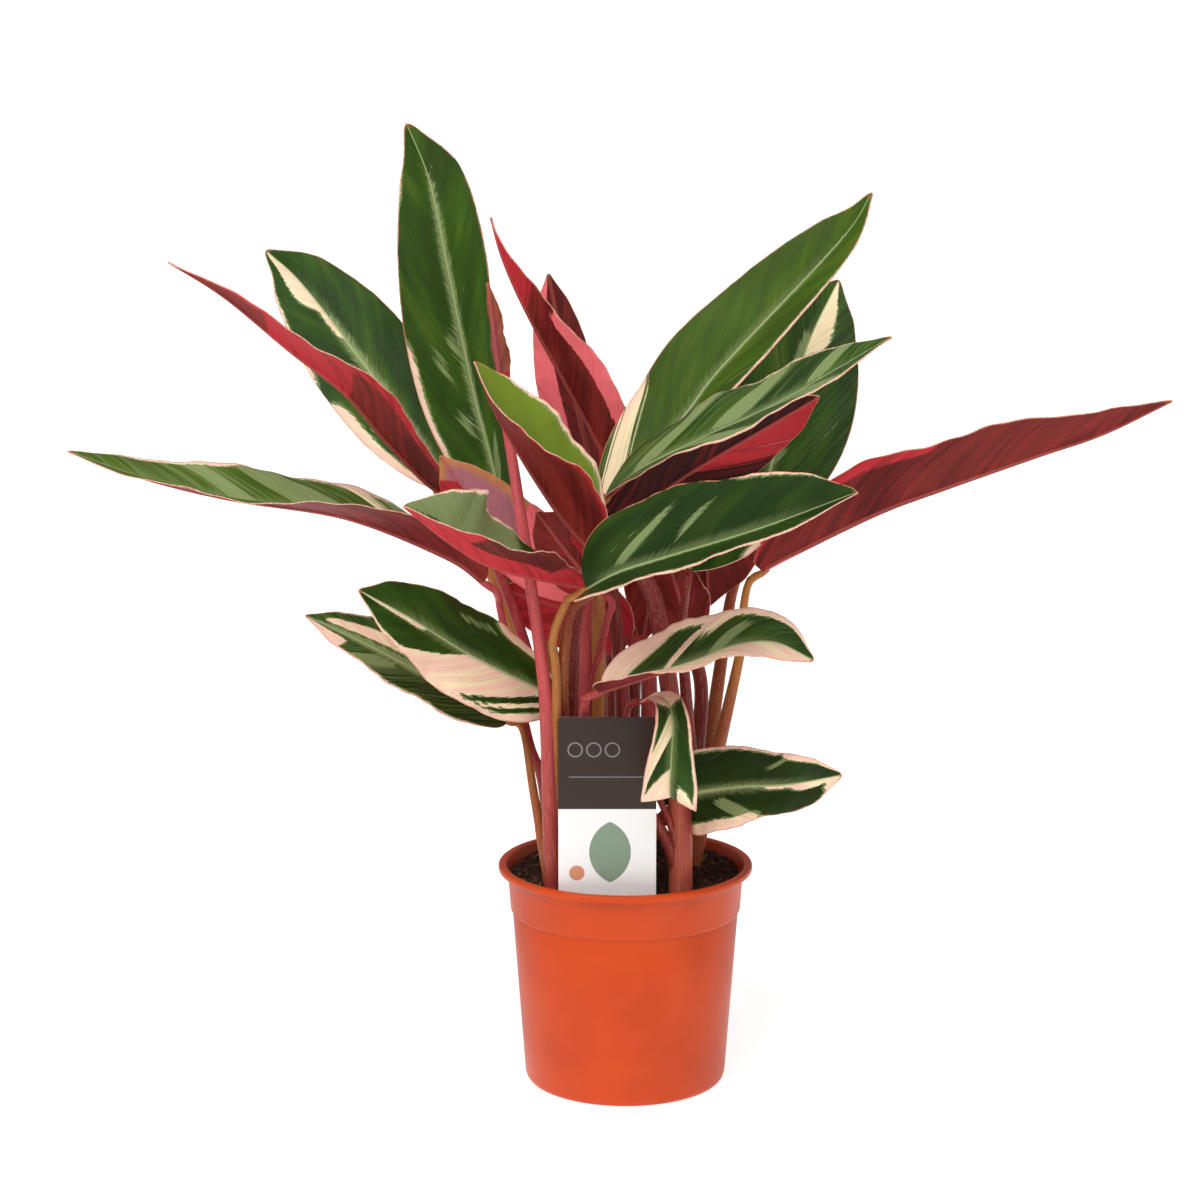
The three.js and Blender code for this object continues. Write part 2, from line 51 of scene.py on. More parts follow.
class Wire:
    # one socket of a node tree, so that shader maths is written as sums
    def __init__(self, tree, socket=None):
        self.tree = tree
        self.socket = socket

    def make(self, kind, settings=None, values=None, out=0):
        node = self.tree.nodes.new(kind)
        for name, value in (settings or {}).items():
            setattr(node, name, value)
        for name, value in (values or {}).items():
            if isinstance(value, Wire):
                self.tree.links.new(value.socket, node.inputs[name])
            else:
                node.inputs[name].default_value = value
        return Wire(self.tree, node.outputs[out])

    def maths(self, operation, *terms):
        return self.make("ShaderNodeMath", {"operation": operation}, dict(enumerate(terms)))

    def __add__(self, other):
        return self.maths("ADD", self, other)

    def __sub__(self, other):
        return self.maths("SUBTRACT", self, other)

    def __rsub__(self, other):
        return self.maths("SUBTRACT", other, self)

    def __mul__(self, other):
        return self.maths("MULTIPLY", self, other)

    def __truediv__(self, other):
        return self.maths("DIVIDE", self, other)

    __radd__ = __add__
    __rmul__ = __mul__

    def most(self, other):
        return self.maths("MAXIMUM", self, other)

    def size(self):
        return self.maths("ABSOLUTE", self)

    def sine(self):
        return self.maths("SINE", self)

    def rise(self, start, end):
        # 0 before start and 1 after end; where start is the larger it falls
        ends = {1: start, 2: end, 3: 0.0, 4: 1.0}
        if start > end:
            ends = {1: end, 2: start, 3: 1.0, 4: 0.0}
        settings = {"interpolation_type": "SMOOTHSTEP"}
        return self.make("ShaderNodeMapRange", settings, {0: self, **ends})

    def parts(self):
        split = self.make("ShaderNodeSeparateXYZ", values={0: self})
        outputs = split.socket.node.outputs
        return [Wire(self.tree, outputs[index]) for index in range(3)]

    def join(self, x=0.0, y=0.0, z=0.0):
        return self.make("ShaderNodeCombineXYZ", values={0: x, 1: y, 2: z})

    def grain(self, place, scale=1.0, detail=2.0, roughness=0.5):
        values = {"Vector": place, "Scale": scale, "Detail": detail, "Roughness": roughness}
        return self.make("ShaderNodeTexNoise", values=values)

    def mix(self, factor, first, second):
        values = {0: factor, 6: first, 7: second}
        return self.make("ShaderNodeMix", {"data_type": "RGBA"}, values, out=2)

    def attribute(self, name):
        return self.make("ShaderNodeAttribute", {"attribute_name": name}, out=1)

    def place(self):
        return self.make("ShaderNodeTexCoord", out=3)

    def bump(self, height, distance, strength=1.0):
        values = {"Height": height, "Strength": strength, "Distance": distance * mm}
        return self.make("ShaderNodeBump", values=values)


def newFinish(name, **fixed):
    # a material, a wire to start from, and a function that leads wires to its shader
    material = bpy.data.materials.new(name)
    material.use_nodes = True
    tree = material.node_tree
    surface = next(node for node in tree.nodes if node.type == "BSDF_PRINCIPLED")
    for socket, value in fixed.items():
        surface.inputs[socket.replace("_", " ")].default_value = value

    def lead(**wires):
        for socket, wire in wires.items():
            tree.links.new(wire.socket, surface.inputs[socket.replace("_", " ")])

    return material, Wire(tree), lead


def newPiece(name, bm, finishes):
    mesh = bpy.data.meshes.new(name)
    bm.to_mesh(mesh)
    bm.free()
    for finish in finishes:
        mesh.materials.append(finish)
    piece = bpy.data.objects.new(name, mesh)
    bpy.context.scene.collection.objects.link(piece)
    return piece


def softenEdges(piece, width, angle):
    softness = piece.modifiers.new("soft edges", "BEVEL")
    softness.width = width * mm
    softness.segments = 2
    softness.limit_method = "ANGLE"
    softness.angle_limit = math.radians(angle)


leafInk = {
    # shade and bright are the greens that the mood darkens and lightens a blade towards, partly painted
    # shade and painted light; shade also darkens the green at random
    "shade": "#0e2206",
    "green": "#2b4e0a",
    "olive": "#566417",
    "bright": "#93a730",
    "pale": "#93a26c",
    "cream": "#f3deb4",
    "milk": "#fff4e4",
    "blush": "#f2c2b0",
    "rib": "#a5b27e",
    "hem": "#cf8a6c",
    "scorch": "#8f5a30",
    # dusk is the dark maroon that a mood below 0 darkens the under side towards, partly painted shade; it
    # also darkens it at random
    "dusk": "#200604",
    "maroon": "#641814",
    "wine": "#7e2822",
    "purple": "#b0707a",
    "amber": "#c98a52",
    "rose": "#b62a32",
    "pink": "#ff7880",
    "underRib": "#a85048",
    # glow is painted light: the blades give off a little light in their own colour, standing in for light
    # shining through them
    "glow": 0.14,
    "veinGap": 2.4,
    "streakWidth": 1.7,
    "hemWidth": 0.7,
    "frayed": 1.9,
    "midribBlur": 6.5,
    "blushWidth": 8.0,
    "amberWidth": 9.0,
    "relief": 0.2,
    "grooveRelief": 0.22,
}


def leafMarks(wire):
    # the masks that both sides of a blade share, from what its points carry
    ink = leafInk
    cream, rose, pale = wire.attribute("zones").parts()
    along, off, seed = wire.attribute("veins").parts()
    edge, reach, fray = wire.attribute("margin").parts()

    def streaks(acrossVeins, outwards, detail, shift=0.0):
        # noise that is drawn out along the veins, other on each blade half
        place = wire.join(along * acrossVeins + seed * shift, off * outwards, seed)
        return wire.grain(place, detail=detail)

    streak = streaks(1 / ink["streakWidth"], 0.02, 2.0, 9.7)
    second = wire.grain(wire.join(along * 0.36 + seed * 4.1, off * 0.03, seed + 7.0), detail=2.0)
    broad = streaks(0.12, 0.016, 1.0, 5.3)
    fine = streaks(1.9, 0.05, 1.5)
    mottle = streaks(0.5, 0.3, 3.0)
    wash = streaks(0.022, 0.04, 1.0, 2.3)
    frayed = ((streak - 0.5) * ink["frayed"] + (broad - 0.5) * 0.9) * fray
    halfFrayed = (second - 0.5) * ink["frayed"] + (streak - 0.5) * 0.8
    return {
        "cream": (cream + frayed).rise(0.4, 0.58),
        "rose": (rose + frayed).rise(0.4, 0.58),
        "white": (cream.most(rose) + frayed).rise(0.46, 0.52),
        "halo": (cream.most(rose) + halfFrayed * fray).rise(0.3, 0.38),
        "pale": (pale + halfFrayed * 0.5).rise(0.32, 0.62),
        "streak": streak,
        "second": second,
        "broad": broad,
        "fine": fine,
        "mottle": mottle,
        "wash": wash,
        "off": off,
        "edge": edge,
        "reach": reach,
        "vein": (along * (2 * math.pi / ink["veinGap"])).sine(),
        "hem": edge.rise(ink["hemWidth"] * 1.4, ink["hemWidth"] * 0.4) * broad.rise(0.3, 0.55),
        "tip": (reach + (broad - 0.5) * 0.02).rise(0.982, 0.995),
    }


def upperFinish():
    ink = leafInk
    # the emission is painted glow, standing in for light shining through the blade
    material, wire, lead = newFinish(
        "leaf upper side", Specular_IOR_Level=0.13, Emission_Strength=ink["glow"],
    )
    marks = leafMarks(wire)
    bright, stripes, flecks = wire.attribute("mood").parts()
    deep = wire.mix(marks["wash"].rise(0.4, 0.62) * 0.6, tone(ink["green"]), tone(ink["shade"]))
    deep = wire.mix(marks["wash"].rise(0.48, 0.28) * 0.45, deep, tone(ink["olive"]))
    deep = wire.mix(marks["broad"].rise(0.35, 0.7) * 0.35, deep, tone(ink["shade"]))
    green = wire.mix(marks["mottle"].rise(0.4, 0.8) * 0.3, deep, tone(ink["green"]))
    # painted light and painted shade, in part: the mood lightens the green towards bright and darkens it
    # towards shade
    green = wire.mix(bright.rise(0.0, 1.0), green, tone(ink["bright"]))
    green = wire.mix(bright.rise(0.0, -1.0), green, tone(ink["shade"]))
    striped = marks["second"].rise(0.5, 0.56) * stripes
    ragged = (marks["second"] - 0.5) * 6.0 + (marks["streak"] - 0.5) * 3.5
    feather = (marks["off"] + ragged).rise(ink["midribBlur"], 0.0) * 0.6
    feather = feather * marks["reach"].rise(0.02, 0.12) * marks["reach"].rise(0.95, 0.6)
    lightened = marks["pale"].most(marks["halo"] * 0.7).most(striped).most(feather)
    paler = wire.mix(marks["fine"].rise(0.3, 0.7) * 0.35, tone(ink["pale"]), green)
    green = wire.mix(lightened * 0.8, green, paler)
    green = wire.mix(marks["vein"].rise(0.5, 1.0) * 0.1, green, tone(ink["pale"]))
    rosy = marks["rose"] * marks["broad"].rise(0.35, 0.6)
    flushed = marks["edge"].rise(ink["blushWidth"], 0.5).most(rosy)
    milk = wire.mix(flushed * 0.8, tone(ink["cream"]), tone(ink["blush"]))
    milk = wire.mix(marks["fine"].rise(0.5, 0.85) * 0.35, milk, tone(ink["milk"]))
    milk = wire.mix(marks["second"].rise(0.6, 0.64) * 0.3, milk, tone(ink["pale"]))
    fleck = (marks["streak"] + flecks * 0.13).rise(0.775, 0.8) * marks["mottle"].rise(0.44, 0.54)
    colour = wire.mix(marks["white"].most(fleck * 0.8), green, milk)
    rib = (marks["off"] / (1.5 - marks["reach"])).rise(1.2, 0.4) * 0.75
    colour = wire.mix(rib, colour, tone(ink["rib"]))
    colour = wire.mix(marks["hem"] * 0.8, colour, tone(ink["hem"]))
    colour = wire.mix(marks["tip"] * 0.7, colour, tone(ink["scorch"]))
    height = marks["vein"] * 0.4 + marks["streak"] * 0.5 + marks["fine"] * 0.4
    height = height + marks["second"] * 2.0
    lead(
        Base_Color=colour,
        Emission_Color=colour,
        Roughness=marks["mottle"] * 0.16 + 0.32,
        Normal=wire.bump(height - rib, ink["grooveRelief"], 0.6),
    )
    return material


def underFinish():
    ink = leafInk
    # the emission is painted glow, standing in for light shining through the blade
    material, wire, lead = newFinish(
        "leaf under side", Specular_IOR_Level=0.16, Emission_Strength=ink["glow"],
    )
    marks = leafMarks(wire)
    bright, _, purple = wire.attribute("mood").parts()
    wine = wire.mix(marks["wash"].rise(0.4, 0.6), tone(ink["maroon"]), tone(ink["wine"]))
    # painted shade, in part: a mood below 0 darkens the under side towards dusk
    wine = wire.mix(bright.rise(0.0, -1.0), wine, tone(ink["dusk"]))
    lilac = wire.mix(marks["edge"].rise(ink["amberWidth"], 1.0), tone(ink["purple"]), tone(ink["amber"]))
    wine = wire.mix(purple.rise(0.2, 1.0), wine, lilac)
    plain = purple.rise(1.0, 0.4)
    wine = wire.mix(marks["second"].rise(0.45, 0.75) * plain * 0.3, wine, tone(ink["rose"]))
    wine = wire.mix(marks["broad"].rise(0.4, 0.75) * plain * 0.4, wine, tone(ink["dusk"]))
    red = wire.mix(marks["broad"].rise(0.45, 0.7) * 0.5, tone(ink["rose"]), tone(ink["maroon"]))
    pink = wire.mix(marks["second"].rise(0.5, 0.75) * 0.35, tone(ink["pink"]), tone(ink["rose"]))
    colour = wire.mix(marks["rose"], wine, red)
    colour = wire.mix(marks["cream"], colour, pink)
    colour = wire.mix(marks["vein"].rise(0.4, 1.0) * 0.12, colour, tone(ink["maroon"]))
    rib = (marks["off"] / (1.6 - marks["reach"])).rise(1.2, 0.6)
    colour = wire.mix(rib * 0.55, colour, tone(ink["underRib"]))
    colour = wire.mix(marks["hem"] * 0.6, colour, tone(ink["hem"]))
    colour = wire.mix(marks["tip"] * 0.7, colour, tone(ink["scorch"]))
    height = marks["vein"] * 0.4 + marks["streak"] * 0.6 + marks["fine"] * 0.5 + marks["second"]
    lead(
        Base_Color=colour,
        Emission_Color=colour,
        Roughness=marks["mottle"] * 0.2 + 0.42,
        Normal=wire.bump(height, ink["relief"], 0.6),
    )
    return material


def edgeFinish():
    ink = leafInk
    material, wire, lead = newFinish("leaf edge", Specular_IOR_Level=0.2)
    marks = leafMarks(wire)
    lead(
        Base_Color=wire.mix(marks["streak"].rise(0.3, 0.7), tone(ink["hem"]), tone(ink["blush"])),
        Roughness=marks["fine"] * 0.2 + 0.4,
    )
    return material


shoots = [
    {
        "name": "stalks_front_left",
        "at": [-47, -40],
        "radius": 8,
        "leaves": [
            {
                "name": "leaf_rolled_tip",
                "shows": "under",
                "stalk": [[-49, -46, 176], [-52, -52, 271], [-62, -58, 354], [-71, -40, 412]],
                "thick": [5.2, 3.2],
                "midrib": [[-79, -3, 452], [-82, 2, 472], [-90, 5, 535]],
                "half": [9, 9],
                "face": [[0.3, 1, 0.3]],
                "fold": [[40], [40]],
                "curl": [30, 30],
            },
            {
                "name": "leaf_low_left",
                "stalk": [[-48, -31, 223]],
                "thick": [4.0, 2.2],
                "midrib": [[-47, -10, 264], [-98, -48, 298], [-137, -80, 330], [-167, -103, 352]],
                "half": [36, 33],
                "face": [[0, -1, 0.7]],
                "fold": [[14], [8]],
                "curl": [-15, -20],
                "outline": [0.75, 0.55],
            },
            {
                "name": "leaf_lowest_left",
                "stalk": [[-60, -28, 200]],
                "thick": [4.0, 2.2],
                "midrib": [[-78, -10, 247], [-122, -22, 275], [-163, -38, 302], [-206, -50, 326]],
                "half": [23, 28],
                "face": [[0, -0.8, 1]],
            },
            {
                "name": "leaf_long_left",
                "stalk": [[-54, -14, 202], [-64, -2, 231], [-76, 5, 286], [-83, -1, 322]],
                "thick": [4.0, 2.3],
                "midrib": [
                    [-93, -15, 341], [-117, -25, 360], [-179, -40, 388], [-251, -53, 402], [-304, -60, 416],
                    [-352, -65, 434],
                ],
                "half": [33, 33],
                "face": [[0, -0.22, 1]],
                "fold": [[70, 62, 34, 27, 24, 16], [22, 16, 17, 27, 22, 16]],
                "curl": [-10, 0],
                "outline": [0.75, 0.6],
            },
            {
                "name": "leaf_front_right",
                "stalk": [[-45, -55, 278], [-47, -65, 313], [-38, -80, 341]],
                "thick": [4.0, 2.5],
                "midrib": [
                    [-26, -88, 349], [-5, -107, 364], [25, -125, 377], [79, -160, 400], [134, -190, 426],
                ],
                "half": [40, 40],
                "face": [[-0.15, -0.8, 0.75]],
                "fold": [[35], [40]],
                "curl": [-12, -5],
                "outline": [0.7, 0.5],
            },
        ],
    },
    {
        "name": "stalks_middle",
        "at": [-26, 5],
        "radius": 12.5,
        "leaves": [
            {
                "name": "leaf_front_left",
                "stalk": [
                    [-40, -12, 167], [-40, -29, 226], [-41, -48, 277], [-39, -56, 311], [-35, -57, 332],
                ],
                "thick": [4.5, 3.5],
                "midrib": [[-28, -54, 345], [-79, -105, 366], [-106, -125, 384], [-136, -138, 410]],
                "half": [38, 45],
                "face": [[0, -0.4, 1]],
                "fold": [[45], [30, 27, 33, 46, 52, 50]],
                "curl": [-5, -5],
                "outline": [1.15, 0.6],
            },
            {
                "name": "leaf_folded_mid",
                "shows": "under",
                "stalk": [[-35, -6, 165], [-36, -32, 273], [-30, -50, 336]],
                "thick": [5.6, 4.1],
                "midrib": [[-18, -55, 363], [-42, -60, 392], [-79, -75, 454], [-95, -80, 492]],
                "half": [37, 37],
                "face": [[0.82, -0.26, 0.52]],
                "fold": [[80, 84, 70, 50, 28, 20], [60, 62, 60, 60, 55, 50]],
                "curl": [-5, -5],
            },
            {
                "name": "leaf_dark_right",
                "shows": "under",
                "stalk": [[-27, 0, 164], [-26, -12, 309]],
                "thick": [5.4, 3.8],
                "midrib": [[-15, -6, 375], [16, -5, 394], [48, -9, 417], [124, -21, 464]],
                "half": [35, 35],
                "face": [[-0.3, 0.9, 0.4]],
                "fold": [[12], [12]],
            },
            {
                "name": "leaf_striped_right",
                "stalk": [[-19, 2, 163], [-18, -14, 269], [-18, -25, 351]],
                "thick": [5.4, 3.8],
                "midrib": [
                    [-14, -27, 398], [10, -42, 420], [52, -60, 444], [93, -72, 465], [163, -88, 508],
                ],
                "half": [32, 32],
                "face": [[0, -0.4, 1]],
                "fold": [[20], [20]],
            },
            {
                "name": "leaf_purple_mid",
                "shows": "under",
                "stalk": [[-32, 8, 161], [-30, 4, 299]],
                "thick": [4.9, 3.5],
                "midrib": [[-27, 4, 326], [-63, -12, 358], [-94, -30, 393], [-119, -42, 428]],
                "half": [28, 28],
                "face": [[-0.2, 0.8, 0.6]],
                "fold": [[20], [20]],
            },
            {
                "name": "leaf_inner_mid",
                "shows": "under",
                "stalk": [
                    [-32, -12, 194], [-28, -10, 235], [-23, -14, 269], [-16, -24, 302], [-12, -37, 323],
                ],
                "thick": [3.6, 2.3],
                "midrib": [[-17, -45, 342], [-31, -45, 357], [-58, -30, 390]],
                "half": [22, 22],
                "face": [[-0.2, 0.9, 0.4]],
                "fold": [[15], [15]],
            },
        ],
    },
    {
        "name": "stalks_front_right",
        "at": [36, -41],
        "radius": 9,
        "leaves": [
            {
                "name": "leaf_hanging_mid",
                "shows": "under",
                "stalk": [[35, -41, 202], [29, -36, 267], [24, -36, 301], [18, -30, 333]],
                "thick": [7.4, 5.5],
                "midrib": [[9, -20, 357], [13, 10, 362], [16, 30, 345], [15, 36, 314], [11, 30, 292]],
                "half": [20, 20],
                "face": [[0, -0.5, 1], [0, 0.5, 1], [0, 1, 0.3], [0, 1, 0]],
            },
            {
                "name": "leaf_low_right",
                "stalk": [
                    [29, -44, 169], [9, -48, 204], [-12, -50, 227], [-23, -49, 245], [-27, -52, 262],
                    [-26, -65, 275],
                ],
                "thick": [4.0, 2.5],
                "midrib": [
                    [-17, -75, 281], [39, -102, 306], [67, -112, 319], [91, -118, 322], [115, -120, 311],
                ],
                "half": [31, 31],
                "face": [[-0.1, -0.6, 0.8]],
                "fold": [[18], [70, 58, 48, 40, 28, 14]],
                "curl": [-12, -10],
                "outline": [0.7, 0.5],
            },
            {
                "name": "leaf_curled_front",
                "stalk": [[32, -46, 176], [19, -46, 210], [1, -38, 249]],
                "thick": [2.6, 2.0],
                "midrib": [
                    [9, -48, 269], [18, -61, 275], [26, -77, 274], [29, -89, 265], [28, -96, 245],
                    [27, -97, 225], [28, -89, 216], [30, -79, 220], [32, -74, 233],
                ],
                "half": [19.5, 19.5],
                "face": [
                    [-0.3, -0.2, 1], [0.1, -0.5, 1], [0.1, -0.9, 0.5], [0, -1, 0.1], [0, -1, 0],
                    [0, -1, -0.1], [0, 0, -1], [0, 0.8, -0.4], [0, 1, 0],
                ],
                "fold": [[10, 25, 52, 50, 38, 22, 10], [10, 25, 45, 45, 34, 20, 10]],
                "outline": [1.9, 0.5],
            },
            {
                "name": "leaf_lowest_right",
                "stalk": [[38, -38, 173], [34, -28, 181]],
                "thick": [3.4, 2.2],
                "midrib": [
                    [29, -24, 192], [36, -28, 201], [73, -60, 215], [104, -80, 222], [136, -92, 231],
                ],
                "half": [29, 29],
                "face": [[0, -1, 0.15], [0, -1, 0.5], [0, -1, 0.8], [0, -1, 0.8]],
                "fold": [[5], [10]],
                "outline": [0.6, 0.45],
            },
        ],
    },
    {
        "name": "stalks_right",
        "at": [42, 22],
        "radius": 10,
        "leaves": [
            {
                "name": "leaf_long_right",
                "shows": "under",
                "stalk": [[75, 6, 285], [77, 3, 314]],
                "thick": [6.2, 2.3],
                "midrib": [
                    [90, 0, 345], [100, -4, 353], [161, -25, 388], [203, -40, 407], [260, -55, 430],
                    [300, -62, 445], [342, -65, 466],
                ],
                "half": [36, 36],
                "face": [[-0.4, 0.3, 0.85]],
                "fold": [[25], [65, 62, 55, 45]],
                "outline": [0.7, 0.6],
            },
            {
                "name": "leaf_back_right",
                "stalk": [[47, 32, 162], [57, 42, 218], [68, 66, 287], [74, 76, 320], [84, 76, 346]],
                "thick": [6.4, 3.0],
                "midrib": [[90, 70, 370], [109, 90, 436], [127, 115, 487], [148, 130, 528]],
                "half": [46, 46],
                "face": [[0, -1, 0.5]],
                "fold": [[35], [10]],
            },
            {
                "name": "leaf_hanging_right",
                "shows": "under",
                "stalk": [[45, 20, 165], [43, 12, 225], [37, -12, 303], [38, -22, 329]],
                "thick": [6.2, 2.2],
                "midrib": [[41, -24, 350], [45, 5, 366], [50, 38, 366], [55, 60, 342], [57, 62, 311]],
                "half": [29, 53],
                "face": [[0, -0.7, 0.7], [0, 0, 1], [0, 0.8, 0.5], [0, 1, 0.1]],
                "outline": [0.8, 0.65],
            },
            {
                "name": "leaf_inner_right",
                "shows": "under",
                "stalk": [[43, 24, 164], [51, 22, 255]],
                "thick": [6.0, 4.5],
                "midrib": [[42, 16, 300], [37, 14, 321], [27, 7, 355]],
                "half": [20, 20],
                "face": [[0.3, 1, 0]],
            },
        ],
    },
    {
        "name": "stalks_centre",
        "at": [1, 18],
        "radius": 12.5,
        "leaves": [
            {
                "name": "leaf_tall_right",
                "stalk": [[-1, 14, 160], [-3, 14, 270], [-14, 15, 365]],
                "thick": [5.9, 4.2],
                "midrib": [[-12, 15, 391], [37, 25, 444], [64, 32, 478], [141, 45, 559], [162, 45, 591]],
                "half": [38, 38],
                "face": [[-0.2, -1, 0.5], [0.1, -1, 0.4]],
                "fold": [[8], [55]],
                "curl": [-12, -5],
                "outline": [0.72, 0.6],
            },
            {
                "name": "leaf_spear_mid",
                "shows": "under",
                "stalk": [[-5, 24, 157], [-7, 34, 224], [-9, 48, 284], [-10, 56, 351]],
                "thick": [5.7, 3.9],
                "midrib": [[-9, 58, 405], [-25, 52, 437], [-63, 23, 511], [-79, 9, 548], [-87, 1, 577]],
                "half": [34, 34],
                "face": [[0.5, 0.85, 0.2]],
                "fold": [[10], [60]],
                "outline": [0.55, 1.2],
            },
            {
                "name": "leaf_spear_rear",
                "shows": "under",
                "stalk": [[-9, 30, 155], [-12, 48, 207], [-16, 72, 279], [-19, 86, 339]],
                "thick": [5.4, 3.6],
                "midrib": [[-21, 90, 394], [-43, 90, 490], [-52, 90, 535]],
                "half": [26, 26],
                "face": [[0.1, 1, 0.1]],
                "fold": [[60], [20]],
            },
            {
                "name": "leaf_rear_right",
                "stalk": [[6, 50, 256]],
                "thick": [6.2, 3.9],
                "midrib": [[10, 54, 345], [15, 82, 364], [35, 154, 398], [46, 188, 405]],
                "half": [33, 33],
                "face": [[0, -0.35, 1]],
                "fold": [[12], [12]],
                "curl": [-12, -12],
                "outline": [0.75, 0.6],
            },
            {
                "name": "leaf_inner_left",
                "shows": "under",
                "stalk": [[14, 18, 214], [16, 19, 262], [14, 20, 286]],
                "thick": [6.8, 5.1],
                "midrib": [[4, 21, 296], [-24, 28, 310], [-83, 15, 332]],
                "half": [28, 28],
                "face": [[0, 1, 0.15]],
            },
        ],
    },
    {
        "name": "stalks_back_left",
        "at": [-20, 40],
        "radius": 10,
        "leaves": [
            {
                "name": "leaf_tall_left",
                "stalk": [[-49, 38, 265]],
                "thick": [5.3, 3.6],
                "midrib": [
                    [-82, 30, 386], [-92, 35, 427], [-102, 42, 465], [-118, 45, 544], [-129, 42, 599],
                    [-143, 34, 636],
                ],
                "half": [38, 38],
                "face": [[0.25, -1, 0.2], [0.1, -1, 0.2]],
                "fold": [[5, 5, 10, 26, 38], [82, 80, 70, 42, 5]],
                "curl": [-15, -15],
                "wave": [1.5, 2, 0],
                "outline": [0.8, 0.5],
            },
            {
                "name": "leaf_back_left",
                "stalk": [[-29, 42, 152], [-44, 42, 209], [-91, 44, 339]],
                "thick": [5.0, 3.4],
                "midrib": [[-117, 62, 394], [-146, 75, 433], [-216, 112, 520], [-246, 118, 549]],
                "half": [36, 40],
                "face": [[0.1, -1, 0.5], [-0.1, -1, 0.6]],
                "fold": [[12], [8]],
                "curl": [-15, -15],
                "outline": [0.85, 0.55],
            },
            {
                "name": "leaf_rear_left",
                "stalk": [[-27, 44, 152], [-43, 54, 255]],
                "thick": [4.6, 2.9],
                "midrib": [[-61, 52, 317], [-80, 84, 343], [-120, 150, 389], [-135, 182, 410]],
                "half": [29, 29],
                "face": [[0.1, -0.5, 1]],
                "fold": [[12], [12]],
                "curl": [-12, -12],
                "outline": [0.75, 0.6],
            },
            {
                "name": "leaf_twisted_left",
                "shows": "under",
                "stalk": [[-31, 36, 154], [-60, 14, 270], [-79, 8, 332], [-97, 2, 373]],
                "thick": [4.8, 3.1],
                "midrib": [
                    [-114, -2, 394], [-131, -8, 407], [-156, -24, 437], [-179, -45, 469], [-211, -65, 498],
                    [-249, -78, 532], [-283, -82, 554],
                ],
                "half": [31, 31],
                "face": [[0.5, 0.12, 0.8]],
                "fold": [[42, 36, 24], [25]],
                "wave": [1.5, 2.5, 0.2],
                "outline": [0.7, 0.9],
            },
        ],
    },
]
